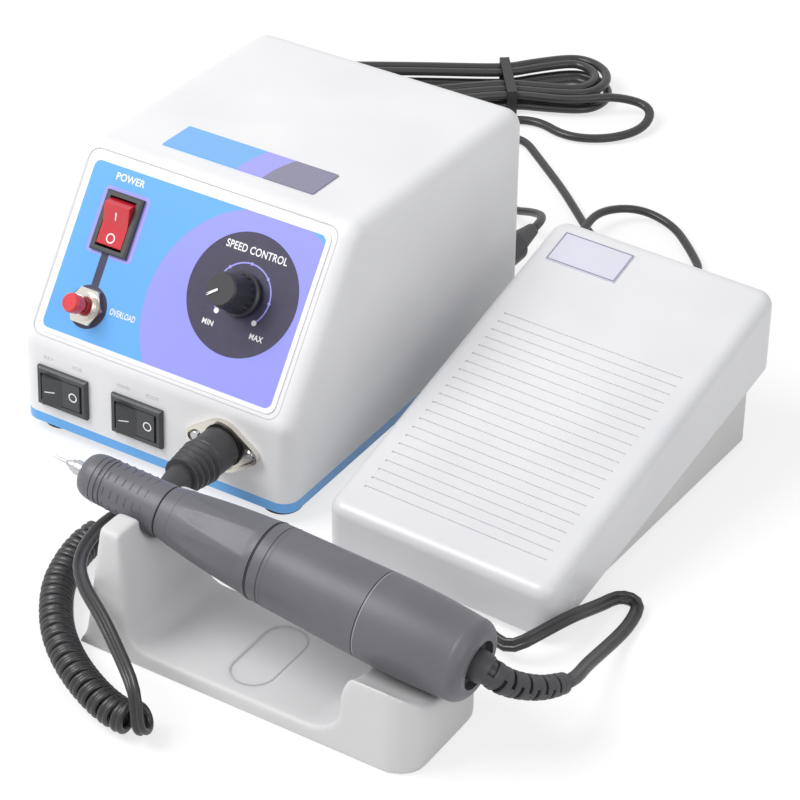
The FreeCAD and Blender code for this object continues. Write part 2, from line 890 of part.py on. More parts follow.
def flange_outline(made, edge):
    """The oval plate: two small ends and a round waist, joined by common tangents."""
    waist = "(flange_waist - %s)" % edge
    end = "(flange_end - %s)" % edge
    lean = "((flange_waist - flange_end)/flange_screw_reach)"
    up = "sqrt(1 - %s^2)" % lean
    waist_x = "%s*%s" % (waist, lean)
    waist_y = "%s*%s" % (waist, up)
    end_x = "(flange_screw_reach + %s*%s)" % (end, lean)
    end_y = "%s*%s" % (end, up)
    tip = "(flange_screw_reach + %s)" % end
    return outline(
        made,
        [
            (waist_x, waist_y, "0", waist),
            (end_x, end_y),
            (end_x, "-" + end_y, tip, "0"),
            (waist_x, "-" + waist_y),
            ("-" + waist_x, "-" + waist_y, "0", "-" + waist),
            ("-" + end_x, "-" + end_y),
            ("-" + end_x, end_y, "-" + tip, "0"),
            ("-" + waist_x, waist_y),
        ],
    )


def socket():
    flange = body("SocketFlange")
    pad(flange, flange_outline(sketch(flange, "XY"), "0"), "flange_thick + flange_rise")
    lowered = sketch(flange, "XY", "vector(0; 0; flange_thick + flange_rise)")
    pocket(flange, flange_outline(lowered, "flange_rim"), "flange_rise")
    holes = circle(sketch(flange, "XY", "vector(0; 0; flange_thick + flange_rise)"), "flange_bore")
    for side_sign in ("-", ""):
        circle(holes, "flange_screw + fit_gap", side_sign + "flange_screw_reach")
    pocket(flange, holes, "2*(flange_thick + flange_rise)")
    seat_on_panel(flange, "socket_flange", "front", "socket_across", "socket_up")

    screws = []
    for side_sign in ("-1*", ""):
        x = side_sign + "flange_screw_reach"
        head = cone("1.45*flange_screw", "flange_screw", "0.9", x, "0", "flange_thick")
        length = "flange_thick + case_wall + 4"
        shank = cylinder("flange_screw - fit_gap", length, x, "0", "-case_wall - 4")
        screws.append(fuse(head, shank))
    seat_on_panel(group(*screws), "flange_screws", "front", "socket_across", "socket_up")

    barrel = cylinder("insert_radius", "insert_depth + flange_thick", z="-insert_depth")
    mouth = cylinder("insert_bore", "insert_depth", z="2 - insert_depth + flange_thick")
    insert = cut(barrel, mouth)
    for index in range(5):
        x = "3.6*cos(%d)" % (45 * index)
        y = "3.6*sin(%d)" % (45 * index)
        insert = fuse(insert, cylinder("0.5", "2.5", x, y, "1 - insert_depth"))
    seat_on_panel(insert, "socket_insert", "front", "socket_across", "socket_up")


def cord_plug():
    """The metal plug in the socket and its ribbed black boot."""
    plug = cylinder("plug_radius", "plug_reach + boot_start + 8", z="-plug_reach")
    seat_on_panel(group(plug), "cord_plug", "front", "socket_across", "socket_up")
    radius = "boot_radius"
    corners = [("plug_radius", "boot_start"), (radius, "boot_start"), (radius, "boot_start + 9")]
    for index in range(5):
        low = "boot_start + %g" % (9.6 + 2.6 * index)
        bead = "%s + %g" % (radius, 0.5 - 0.35 * index)
        groove = "%s - %g" % (radius, 0.4 + 0.35 * index)
        corners.append((groove, low))
        corners.append((bead, low + " + 0.9"))
        corners.append((bead, low + " + 1.6"))
    corners.append(("boot_radius - 2.6", "boot_straight"))
    bend = ("boot_radius - 3.1", "boot_straight + 4.5")
    corners.append(("lead_radius + 1.6", "boot_length - 3.5") + bend)
    corners.append(("lead_radius + 0.9", "boot_length"))
    corners.append(("0", "boot_length"))
    corners.append(("0", "boot_start + 8"))
    corners.append(("plug_radius", "boot_start + 8"))
    boot = spun("PlugBoot", corners)
    seat_on_panel(boot, "plug_boot", "front", "socket_across", "socket_up")


# Inside the unit


def transformer():
    floor = "foot_height + tray_height + tray_step"
    core = box("core_long", "core_deep", "core_high", z="bracket_thick")
    foot = box("core_long + 18", "core_deep", "bracket_thick", "-9")
    seat(fuse(core, foot), "transformer_core", "transformer_left", "unit_depth - transformer_back", floor)
    left = "(core_long - winding_long)/2"
    low = "bracket_thick + 0.17*core_high"
    blocks = []
    for y in ("-winding_bulge", "core_deep"):
        blocks.append(box("winding_long", "winding_bulge", "0.66*core_high", left, y, low))
    seat(group(*blocks), "transformer_winding", "transformer_left", "unit_depth - transformer_back", floor)


def circuit_board():
    floor = "foot_height + tray_height + tray_step"
    pieces = [box("board_long", "board_deep", "board_thick", z="board_post")]
    for x in ("4", "board_long - 4"):
        for y in ("4", "board_deep - 4"):
            pieces.append(cylinder("2.5", "board_post", x, y))
    pieces.append(cylinder("capacitor_radius", "capacitor_height", "16", "board_deep/2", "board_post"))
    pieces.append(box("15", "6", "14", "40", "board_deep/2 - 3", "board_post"))
    pieces.append(box("24", "3", "22", "board_long - 30", "board_deep/2", "board_post"))
    seat(fuse(*pieces), "circuit_board", "board_left", "board_front", floor)


# Back of the unit: fuse holder, mains gland, pedal jack. Their own Z points rearwards.

REARWARDS = "rotationx(-90)"


def at_rear(thing, label, across, up):
    return seat(thing, label, across, "unit_depth", CASE_Z + " + " + up, REARWARDS)


def rear_fittings():
    holder = fuse(
        cylinder("fuse_radius", "26", z="-26"),
        cylinder("fuse_radius + 2", "2"),
        cone("fuse_radius", "fuse_radius - 0.8", "8", z="2"),
    )
    at_rear(holder, "fuse_holder", "fuse_across", "fuse_up")
    gland_corners = [
        ("0", "-8"),
        ("gland_radius", "-8"),
        ("gland_radius", "0"),
        ("gland_radius + 2.4", "0"),
        ("gland_radius + 2.4", "2.5"),
    ]
    for index in range(5):
        reach = "(mains_cord_radius + 2.2 - %g)" % (0.32 * index)
        low = "%g" % (4 + 4.2 * index)
        gland_corners.append((reach + " - 0.7", low))
        gland_corners.append((reach, low + " + 1"))
        gland_corners.append((reach, low + " + 3"))
    gland_corners.append(("mains_cord_radius + 0.5", "gland_reach"))
    gland_corners.append(("0", "gland_reach"))
    at_rear(spun("MainsGland", gland_corners), "mains_gland", "gland_across", "gland_up")
    jack = cut(
        fuse(cylinder("jack_radius", "20", z="-20"), cylinder("jack_radius + 1.8", "2.4")),
        cylinder("3.3", "14", z="-11.6"),
    )
    at_rear(jack, "pedal_jack", "unit_width - jack_inset", "jack_up")
    plug = spun(
        "PedalPlug",
        [
            ("0", "-10"),
            ("3.2", "-10"),
            ("3.2", "2.4"),
            ("pedal_plug_radius", "2.4"),
            ("pedal_plug_radius", "2.4 + pedal_plug_length"),
            ("pedal_plug_radius - 1.6", "3.4 + pedal_plug_length"),
            ("pedal_cord_radius + 0.6", "16 + pedal_plug_length"),
            ("0", "16 + pedal_plug_length"),
        ],
    )
    at_rear(plug, "pedal_plug", "unit_width - jack_inset", "jack_up")


# Handpiece: turned pieces on one axis


def handpiece_shells():
    front = "sleeve_start"
    groove_in = "sleeve_radius - 0.3"
    corners = [
        (front, "bearing_radius + fit_gap"),
        (front, "sleeve_radius - 2"),
        (front + " + 2", "sleeve_radius", front + " + 0.6", "sleeve_radius - 0.6"),
    ]
    for start in ("3.2", "5"):
        corners.append(("%s + %s" % (front, start), "sleeve_radius"))
        corners.append(("%s + %s + 0.1" % (front, start), groove_in))
        corners.append(("%s + %s + 0.5" % (front, start), groove_in))
        corners.append(("%s + %s + 0.6" % (front, start), "sleeve_radius"))
    corners += [
        ("grip_start", "grip_radius"),
        ("grip_start", "core_radius"),
        ("housing_start + 5.5", "core_radius"),
        ("housing_start + 5.5", "core_bore"),
        ("core_start", "core_bore"),
        ("core_start", "bearing_radius + fit_gap"),
    ]
    seat_in_hand(turned("FrontSleeve", corners), "front_sleeve")

    start = "grip_start + joint_gap"
    end = "housing_start - joint_gap"
    swell = "((grip_radius + housing_radius)/2 + 0.45)"
    grip = turned(
        "TwistGrip",
        [
            (start, "core_radius + fit_gap"),
            (start, "grip_radius"),
            (end, "housing_radius", "(grip_start + housing_start)/2", swell),
            (end, "core_radius + fit_gap"),
        ],
    )
    flutes = []
    lean = "atan2(housing_radius - grip_radius; housing_start - grip_start)"
    middle = "((grip_start + housing_start)/2 + 1)"
    centre = "(%s + flute_radius - flute_depth)" % swell
    for index in range(int(number("flute_count"))):
        made = doc.addObject("Part::Ellipsoid", "Flute")
        bind(made, Radius1="flute_reach", Radius2="flute_radius", Radius3="flute_radius")
        around = "placement(vector(0; 0; 0); rotationx(%d*360/flute_count))" % index
        seated = "placement(vector(%s; 0; %s); rotationy(-1*%s) * rotationy(90))"
        made.setExpression("Placement", bound(around + " * " + seated % (middle, centre, lean)))
        flutes.append(made)
    seat_in_hand(cut(grip, fuse(*flutes)), "twist_grip")

    housing = turned(
        "MotorHousing",
        [
            ("housing_start", "core_radius + fit_gap"),
            ("housing_start", "housing_radius"),
            ("housing_start + 4", "housing_radius + 0.14"),
            ("housing_start + 4.1", "housing_radius - 0.1"),
            ("housing_start + 4.5", "housing_radius - 0.1"),
            ("housing_start + 4.6", "housing_radius + 0.16"),
            ("rear_start - joint_gap", "rear_radius"),
            ("rear_start - joint_gap", "spigot_radius"),
            ("rear_start + 9", "spigot_radius"),
            ("rear_start + 9", "motor_bore"),
            ("housing_start + 5.5", "motor_bore"),
            ("housing_start + 5.5", "core_radius + fit_gap"),
        ],
    )
    seat_in_hand(housing, "motor_housing")

    rear = turned(
        "RearSleeve",
        [
            ("rear_start", "spigot_radius + fit_gap"),
            ("rear_start", "rear_radius"),
            ("tail_end - 5", "tail_radius + 0.7", "rear_start + 20", "rear_radius - 0.1"),
            ("tail_end", "tail_radius - 2.6", "tail_end - 1.2", "tail_radius - 0.6"),
            ("tail_end", "8"),
            ("tail_end - recess_depth", "8"),
            ("tail_end - recess_depth", "lead_radius + 1"),
            ("tail_end - 6", "lead_radius + 1"),
            ("tail_end - 6", "motor_bore"),
            ("rear_start + 9.4", "motor_bore"),
            ("rear_start + 9.4", "spigot_radius + fit_gap"),
        ],
    )
    seat_in_hand(rear, "rear_sleeve")


def handpiece_works():
    cap = turned(
        "NoseCap",
        [
            ("cap_start", "spindle_radius + 0.25"),
            ("cap_start", "spindle_radius + 0.9"),
            ("sleeve_start - 1.5", "sleeve_radius - 2.6"),
            ("sleeve_start", "sleeve_radius - 2.6"),
            ("sleeve_start", "bearing_radius - 0.7"),
            ("sleeve_start + 2.8", "bearing_radius - 0.7"),
            ("sleeve_start + 2.8", "spindle_radius + 0.25"),
        ],
    )
    seat_in_hand(cap, "nose_cap")
    bore = "collet_radius + fit_gap"
    spindle = turned(
        "Spindle",
        [
            ("1", bore),
            ("1", "spindle_radius - 0.3"),
            ("1.6", "spindle_radius"),
            ("rear_start + 8.5", "spindle_radius"),
            ("rear_start + 8.5", "0"),
            ("bur_depth + 2", "0"),
            ("bur_depth + 2", "bur_radius + fit_gap"),
            ("collet_length", "bur_radius + fit_gap"),
            ("collet_length", bore),
        ],
    )
    seat_in_hand(spindle, "spindle")
    collet = turned(
        "Collet",
        [
            ("0", "bur_radius + fit_gap"),
            ("0", "collet_radius"),
            ("collet_length - 0.1", "collet_radius"),
            ("collet_length - 0.1", "bur_radius + fit_gap"),
        ],
    )
    seat_in_hand(collet, "collet")
    bur = turned(
        "Bur",
        [
            ("bur_depth", "0"),
            ("bur_depth", "bur_radius"),
            ("-1.2", "bur_radius"),
            ("-2.6", "0.55"),
            ("0.2 - bur_reach", "0.3"),
            ("-bur_reach", "0"),
        ],
    )
    seat_in_hand(bur, "bur")
    rotor = turned(
        "Rotor",
        [
            ("housing_start + 12", "spindle_radius"),
            ("housing_start + 12", "rotor_radius"),
            ("rear_start - 6", "rotor_radius"),
            ("rear_start - 6", "spindle_radius + 1.2"),
            ("rear_start + 2", "spindle_radius + 1.2"),
            ("rear_start + 2", "spindle_radius"),
        ],
    )
    seat_in_hand(rotor, "rotor")
    magnets = turned(
        "FieldMagnets",
        [
            ("housing_start + 11", "magnet_bore"),
            ("housing_start + 11", "motor_bore - fit_gap"),
            ("rear_start - 5", "motor_bore - fit_gap"),
            ("rear_start - 5", "magnet_bore"),
        ],
    )
    seat_in_hand(magnets, "field_magnets")
    rings = []
    plates = []
    for start in BEARING_STARTS:
        end = start + " + bearing_width"
        ring = [
            (start, "spindle_radius + fit_gap"),
            (start, "bearing_radius"),
            (end, "bearing_radius"),
            (end, "spindle_radius + fit_gap"),
        ]
        rings.append(turned("Bearing", ring))
    for start in PLATE_STARTS:
        end = start + " + bearing_width"
        plate = [
            (start, "bearing_radius + fit_gap"),
            (start, "motor_bore - fit_gap"),
            (end, "motor_bore - fit_gap"),
            (end, "bearing_radius + fit_gap"),
        ]
        plates.append(turned("BearingPlate", plate))
    seat_in_hand(group(*rings), "ball_bearings")
    seat_in_hand(group(*plates), "bearing_plates")


# Cradle: one moulding with a notched left wall, a hollow trough and a saddle block


def cradle():
    middle = "cradle_depth/2"
    made = body("CradleBlock")
    side = outline(
        sketch(made, "XZ", "vector(0; 0; -cradle_depth)"),
        [
            ("0", "0"),
            ("cradle_length", "0"),
            ("cradle_length", "block_top"),
            ("block_start + 3", "block_top"),
            ("block_start - 6", "block_top*0.42", "block_start - 4.6", "block_top*0.72"),
            ("block_start - 20", "cradle_floor", "block_start - 10.5", "block_top*0.24"),
            ("wall_inner + 7", "cradle_floor"),
            ("wall_inner", "cradle_floor + 9", "wall_inner + 1.8", "cradle_floor + 2.4"),
            ("wall_inner - 1", "wall_top"),
            ("wall_outer", "wall_top"),
            ("2.5", "wall_foot_rise"),
        ],
    )
    block = pad(made, side, "cradle_depth")

    def right_corner(edge):
        return upright(edge) and near(edge.BoundBox.XMin, "cradle_length")

    ended = round_edges(made, block, "cradle_round", right_corner)

    def pillar_corner(edge):
        limits = edge.BoundBox
        at_side = limits.YLength < 1e-4 and limits.XMin < number("wall_outer") - 1
        return at_side and limits.ZMax > number("wall_top") - 0.1 and limits.ZMin < 20

    round_edges(made, ended, "pillar_round", pillar_corner)
    saddle_axis = "saddle_low + saddle_radius"
    groove = circle(
        sketch(made, "YZ", "vector(0; 0; block_start - 25)"), "saddle_radius", middle, saddle_axis
    )
    pocket(made, groove, "cradle_length", True)
    notch_axis = "(notch_low + notch_radius)"
    notch = sketch(made, "YZ", "vector(0; 0; -1)")
    left = "%s - notch_radius" % middle
    right = "%s + notch_radius" % middle
    outline(
        notch,
        [
            (left, notch_axis),
            (right, notch_axis, middle, "notch_low"),
            (right, "wall_top + 5"),
            (left, "wall_top + 5"),
        ],
    )
    pocket(made, notch, "wall_inner + 8", True)
    mark = sketch(made, "XY", "vector(0; 0; cradle_floor)")
    wide = "rest_mark_wide/2"
    reach = "(rest_mark_long - rest_mark_wide)/2"
    low = "rest_mark_y - " + reach
    high = "rest_mark_y + " + reach
    outline(
        mark,
        [
            ("rest_mark_x + " + wide, low, "rest_mark_x", low + " - " + wide),
            ("rest_mark_x + " + wide, high),
            ("rest_mark_x - " + wide, high, "rest_mark_x", high + " + " + wide),
            ("rest_mark_x - " + wide, low),
        ],
    )
    pocket(made, mark, "rest_mark_deep")
    return seat(made, "cradle", "cradle_x", "cradle_y")


# Foot pedal: a hollow treadle hinged at the heel over a wedge-shaped base


def treadle():
    made = body("Treadle")
    side = outline(
        sketch(made, "YZ"),
        [
            ("0", "skirt_heel"),
            ("0", "heel_height"),
            ("pedal_length", "toe_height"),
            ("pedal_length", "skirt_toe"),
            ("8", "skirt_heel"),
        ],
    )
    block = pad(made, side, "pedal_width")
    cornered = round_edges(made, block, "treadle_round", upright)

    def top_rim(edge):
        limits = edge.BoundBox
        lift = number("heel_height") + limits.YMin * number("(toe_height - heel_height)/pedal_length")
        return limits.ZMin > lift - 0.5

    round_edges(made, cornered, "treadle_edge", top_rim)
    drop = "treadle_wall/cos(%s)" % RAMP
    ramp = "(toe_height - heel_height)/pedal_length"
    inner = outline(
        sketch(made, "YZ", "vector(0; 0; treadle_wall)"),
        [
            ("treadle_wall", "-1"),
            ("treadle_wall", "heel_height + treadle_wall*%s - %s" % (ramp, drop)),
            ("pedal_length - treadle_wall", "toe_height - treadle_wall*%s - %s" % (ramp, drop)),
            ("pedal_length - treadle_wall", "-1"),
        ],
    )
    pocket(made, inner, "pedal_width - 2*treadle_wall", True)
    hinge = sketch(made, "YZ", "vector(0; 0; -1)")
    circle(hinge, "hinge_radius + fit_gap", "hinge_along", "hinge_up")
    pocket(made, hinge, "pedal_width + 2", True)
    run = "/cos(%s)" % RAMP
    groove = sketch(made, "XY", "vector(0; 0; heel_height)", "rotationx(%s)" % RAMP)
    rectangle(
        groove,
        "groove_left",
        "groove_first%s - groove_wide/2" % run,
        "groove_width",
        "groove_wide",
    )
    first = pocket(made, groove, "groove_deep")
    doc.recompute()
    rows = made.newObject("PartDesign::LinearPattern", "GripLines")
    rows.Originals = [first]
    rows.Direction = (groove, ["V_Axis"])
    bind(rows, Length="(groove_last - groove_first)%s" % run, Occurrences="groove_count")
    made.Tip = rows
    return seat_on_pedal(made, "pedal_treadle")


def pedal_base():
    made = body("PedalBase")
    wide = "pedal_width - 2*base_inset"
    side = outline(
        sketch(made, "YZ", "vector(0; 0; base_inset)"),
        [
            ("base_inset", "base_lift"),
            ("base_inset", "base_heel"),
            ("base_flat", "base_heel"),
            ("pedal_length - base_inset", "base_toe"),
            ("pedal_length - base_inset", "base_lift"),
        ],
    )
    block = pad(made, side, wide)
    round_edges(made, block, "treadle_round - treadle_wall", upright)
    hollow = rectangle(
        sketch(made, "XY", "vector(0; 0; base_lift + base_wall)"),
        "base_inset + base_wall",
        "base_inset + base_wall",
        "%s - 2*base_wall" % wide,
        "pedal_length - 2*base_inset - 2*base_wall",
    )
    pocket(made, hollow, "base_toe", True)
    hinge = sketch(made, "YZ", "vector(0; 0; 0)")
    circle(hinge, "hinge_radius", "hinge_along", "hinge_up")
    pocket(made, hinge, "pedal_width", True)
    pads = sketch(made, "XY", "vector(0; 0; base_lift)")
    for x in ("pad_inset", "pedal_width - pad_inset"):
        for y in ("pad_inset", "pedal_length - pad_inset"):
            circle(pads, "pad_radius + fit_gap", x, y)
    pocket(made, pads, "base_wall/2", True)
    gland = sketch(made, "XZ", "vector(0; 0; -pedal_length)")
    circle(gland, "pedal_gland_radius + fit_gap", "pedal_gland_across", "pedal_gland_up")
    pocket(made, gland, "base_inset + 2*base_wall", True)
    return seat_on_pedal(made, "pedal_base")


def pedal_fittings():
    pin = cylinder("hinge_radius", "pedal_width - 0.6", turn="rotationy(90)")
    seat_on_pedal(group(pin), "hinge_pin", "0.3", "hinge_along", "hinge_up")
    plate = box("plate_width", "plate_length/cos(%s)" % RAMP, "plate_thick")
    rise = "heel_height + (pedal_length - plate_back)*tan(%s)" % RAMP
    seat_on_pedal(plate, "pedal_plate", "plate_left", "(pedal_length - plate_back)", rise, " * rotationx(%s)" % RAMP)
    pads = []
    for x in ("pad_inset", "pedal_width - pad_inset"):
        for y in ("pad_inset", "pedal_length - pad_inset"):
            pads.append(cylinder("pad_radius", "base_lift + base_wall/2", x, y))
    seat_on_pedal(group(*pads), "pedal_feet")
    floor = "base_lift + base_wall"
    sensor = fuse(
        box("18", "26", "12"),
        cylinder("3", "6", "9", "8", "12"),
        box("2", "24", "1.2", "8", "8", "17"),
    )
    seat_on_pedal(sensor, "pedal_sensor", "sensor_across", "sensor_along", floor)
    gland = spun(
        "PedalGland",
        [
            ("0", "-6"),
            ("pedal_gland_radius", "-6"),
            ("pedal_gland_radius", "0"),
            ("pedal_gland_radius + 1.4", "0"),
            ("pedal_gland_radius + 1.4", "1.6"),
            ("pedal_cord_radius + 0.6", "pedal_gland_reach"),
            ("0", "pedal_gland_reach"),
        ],
    )
    at_toe = "pedal_length - base_inset"
    place = ("pedal_gland_across", at_toe, "pedal_gland_up")
    seat_on_pedal(gland, "pedal_gland", *place, " * " + REARWARDS)


# Tubes for cords. A tube has a few flat sides only, so that it stays light.


def vector(point):
    return FreeCAD.Vector(*point)


def section(start, direction, radius, sides):
    """The tube's outline at its first point, square to its direction."""
    direction = FreeCAD.Vector(direction).normalize()
    guide = FreeCAD.Vector(0, 0, 1)
    if abs(direction.z) > 0.9:
        guide = FreeCAD.Vector(1, 0, 0)
    across = direction.cross(guide).normalize()
    over = across.cross(direction)
    ring = []
    for index in range(sides):
        angle = 2 * math.pi * (index + 0.5) / sides
        ring.append(start + across * (radius * math.cos(angle)) + over * (radius * math.sin(angle)))
    return Part.makePolygon(ring + [ring[0]])


def sweep(label, edges, start, direction, radius, sides):
    path = Part.Wire(edges)
    solid = path.makePipeShell([section(start, direction, radius, sides)], True, False)
    if solid.ShapeType != "Solid":
        solid = Part.Solid(solid)
    area = 0.5 * sides * radius**2 * math.sin(2 * math.pi / sides)
    ratio = solid.Volume / (area * path.Length)
    print("%s: length %.0f mm, volume ratio %.4f" % (label, path.Length, ratio))
    made = doc.addObject("Part::Feature", "Cord")
    made.Shape = solid
    return made


def smooth_route(label, points):
    """Straight runs joined by arcs as large as the runs beside them allow."""
    spots = [vector(p) for p in points]
    edges = []
    radii = []
    last = spots[0]
    for before, corner, after in zip(spots, spots[1:], spots[2:]):
        arriving = (corner - before).normalize()
        leaving = (after - corner).normalize()
        turn = arriving.getAngle(leaving)
        trim = 0.45 * min((corner - before).Length, (after - corner).Length)
        radius = trim / math.tan(turn / 2)
        radii.append(radius)
        begin = corner - arriving * trim
        finish = corner + leaving * trim
        inward = (leaving - arriving).normalize()
        middle = corner + inward * (radius / math.cos(turn / 2) - radius)
        edges.append(Part.LineSegment(last, begin).toShape())
        edges.append(Part.Arc(begin, middle, finish).toShape())
        last = finish
    edges.append(Part.LineSegment(last, spots[-1]).toShape())
    print("%s: least radius %.1f mm" % (label, min(radii)))
    return edges


def free_cord(label, points, radius, sides=8):
    edges = smooth_route(label, points)
    start = vector(points[0])
    direction = vector(points[1]) - start
    return seat(sweep(label, edges, start, direction, number(radius), sides), label)


def arc_between(start, corner, end):
    """The arc that leaves start towards corner and arrives at end from corner."""
    chord = (start + end) * 0.5
    height = (corner - chord).Length
    half = (end - start).Length / 2
    if height < 1e-4 * half:
        return Part.LineSegment(start, end).toShape()
    lean = math.atan2(height, half)
    middle = chord + (corner - chord).normalize() * (half * math.tan(lean / 2))
    return Part.Arc(start, middle, end).toShape()


def biarcs(points, directions):
    """Two arcs from each point to the next, leaving and arriving along the directions."""
    edges = []
    for index in range(len(points) - 1):
        start = points[index]
        end = points[index + 1]
        leaving = FreeCAD.Vector(directions[index]).normalize()
        arriving = FreeCAD.Vector(directions[index + 1]).normalize()
        gap = end - start
        both = leaving + arriving
        a = 2 * (leaving.dot(arriving) - 1)
        b = -2 * gap.dot(both)
        c = gap.dot(gap)
        reach = -c / b
        if abs(a) > 1e-9:
            reach = (-b - math.sqrt(b * b - 4 * a * c)) / (2 * a)
        out = start + leaving * reach
        back = end - arriving * reach
        joint = (out + back) * 0.5
        edges.append(arc_between(start, out, joint))
        edges.append(arc_between(joint, back, end))
    return edges


def least_gap(label, dots, radius, skip):
    """Prints the least clear space between a winding's turns."""
    least = 1e9
    for i in range(0, len(dots), 2):
        for j in range(i + skip, len(dots), 2):
            least = min(least, (dots[i] - dots[j]).Length)
    print("%s: least gap to itself %.2f mm" % (label, least - 2 * radius))


# Curly cord: half-turn steps along a spine that runs round the cradle's left end. The first
# curl stands up where the free cord pulls it, the tight curls show, the rest lies stretched.

COIL_SPINE = [
    (135.3, -111.4, 9.6),
    (131.5, -111.9, 7.4),
    (127.0, -112.0, 6.3),
    (121.7, -111.0, 6.1),
    (116.0, -109.3, 6.1),
    (109.2, -106.4, 6.1),
    (102.6, -103.0, 6.1),
    (95.6, -98.7, 6.1),
    (87.2, -92.2, 6.1),
    (79.1, -83.7, 6.1),
    (70.6, -71.5, 6.1),
    (66.6, -60.2, 6.1),
    (65.1, -53.4, 6.1),
    (64.6, -46.3, 6.1),
    (66.5, -37.5, 6.1),
    (73.5, -29.5, 6.1),
    (84.0, -26.0, 6.1),
    (100.0, -25.0, 6.1),
    (130.0, -25.0, 6.1),
    (155.0, -25.0, 6.1),
    (174.0, -19.5, 6.1),
    (186.0, -14.8, 6.1),
    (196.0, -16.2, 6.0),
]
COIL_START_ANGLE = -30


def coil_path():
    """Points half a turn apart on the coil, with the direction of the cord at each."""
    curve = Part.BSplineCurve()
    curve.interpolate([vector(p) for p in COIL_SPINE])
    track = curve.toShape()
    stations = [0.0]
    while len(stations) <= 2 * number("tight_turns"):
        pitch = number("coil_end_pitch" if len(stations) < 3 else "coil_pitch")
        stations.append(stations[-1] + pitch / 2)
    left = track.Length - stations[-1]
    steps = round(2 * left / number("loose_pitch"))
    stations += [stations[-1] + left * (index + 1) / steps for index in range(steps)]
    points = []
    directions = []
    for index, station in enumerate(stations):
        parameter = track.getParameterByLength(min(station, track.Length - 0.001))
        centre = track.valueAt(parameter)
        along = track.tangentAt(parameter)
        across = FreeCAD.Vector(0, 0, 1).cross(along).normalize()
        over = along.cross(across)
        left_over = len(stations) - 1 - index
        radius = number("coil_radius") * min(1, left_over / 3)
        angle = math.radians(COIL_START_ANGLE + 180 * index)
        out = across * math.cos(angle) - over * math.sin(angle)
        round_about = across * -math.sin(angle) - over * math.cos(angle)
        before = stations[max(index - 1, 0)]
        after = stations[min(index + 1, len(stations) - 1)]
        step = (after - before) / (1 if index in (0, len(stations) - 1) else 2)
        points.append(centre + out * radius)
        directions.append(round_about * (math.pi * radius) + along * step)
    return points, directions


def coil():
    points, directions = coil_path()
    tail = FreeCAD.Vector(directions[-1]).normalize() * (2 * number("lead_radius"))
    head = FreeCAD.Vector(directions[0]).normalize() * (2 * number("lead_radius"))
    start = points[0] - head
    end = points[-1] + tail
    edges = [Part.LineSegment(start, points[0]).toShape()]
    edges += biarcs(points, directions)
    edges.append(Part.LineSegment(points[-1], end).toShape())
    made = sweep("handpiece_coil", edges, start, head, number("lead_radius"), 5)
    seat(made, "handpiece_coil")
    dots = Part.Wire(edges).discretize(Distance=1.0)
    least_gap("handpiece_coil", dots, number("lead_radius"), 12)
    return start, head, end, tail


def on_panel(panel, across, up, out):
    """A point on one of the unit's two faces, so far outside it."""
    tilt = math.radians(number(PANELS[panel]["tilt"]))
    y = number(PANELS[panel]["y"]) + number(up) * math.cos(tilt) - number(out) * math.sin(tilt)
    z = number(PANELS[panel]["z"]) + number(up) * math.sin(tilt) + number(out) * math.cos(tilt)
    return (number(across), y, z)


def on_pedal(across, along, up):
    turn = math.radians(number("pedal_turn"))
    x = number("pedal_x") + number(across) * math.cos(turn) - number(along) * math.sin(turn)
    y = number("pedal_y") + number(across) * math.sin(turn) + number(along) * math.cos(turn)
    return (x, y, number(up))


def in_hand(along, across=0.0, over=0.0):
    """A point of the handpiece, with a shift across and over its axis."""
    lean = math.radians(number("hand_tilt"))
    run = number(along)
    x = number("nose_x") + run * math.cos(lean) + over * math.sin(lean)
    z = number("nose_z") - run * math.sin(lean) + over * math.cos(lean)
    return (x, number("nose_y") + across, z)


# Strain relief: a tapered rubber rod with rings, bent down towards the table

RELIEF_BEND = [(0.0, 0.0, 0.0), (7.0, 0.6, -0.2), (12.0, 6.0, -2.5), (15.5, 15.0, -7.5)]


def strain_relief():
    start = vector(in_hand("tail_end - recess_depth"))
    spine = [start + vector(p) for p in RELIEF_BEND]
    straight_out = (vector(in_hand("tail_end")) - start).normalize()
    curve = Part.BSplineCurve()
    ways = [straight_out] * len(spine)
    only_first = [True] + [False] * (len(spine) - 1)
    curve.interpolate(Points=spine, Tangents=ways, TangentFlags=only_first)
    track = curve.toShape()
    rings = 9
    rounds = []
    for index in range(2 * rings + 1):
        share = index / (2 * rings)
        parameter = track.getParameterByLength(track.Length * share)
        taper = 5.0 - 2.2 * share
        radius = taper if index % 2 == 0 else taper - 0.7
        line = Part.Circle(track.valueAt(parameter), track.tangentAt(parameter), radius)
        rounds.append(Part.Wire(line.toShape()))
    made = doc.addObject("Part::Feature", "Relief")
    made.Shape = Part.makeLoft(rounds, True, True)
    seat(made, "strain_relief")
    end = track.valueAt(track.LastParameter)
    return end, track.tangentAt(track.LastParameter)


# Cords. Each point stays as the photograph shows it; only the ends follow what they join.

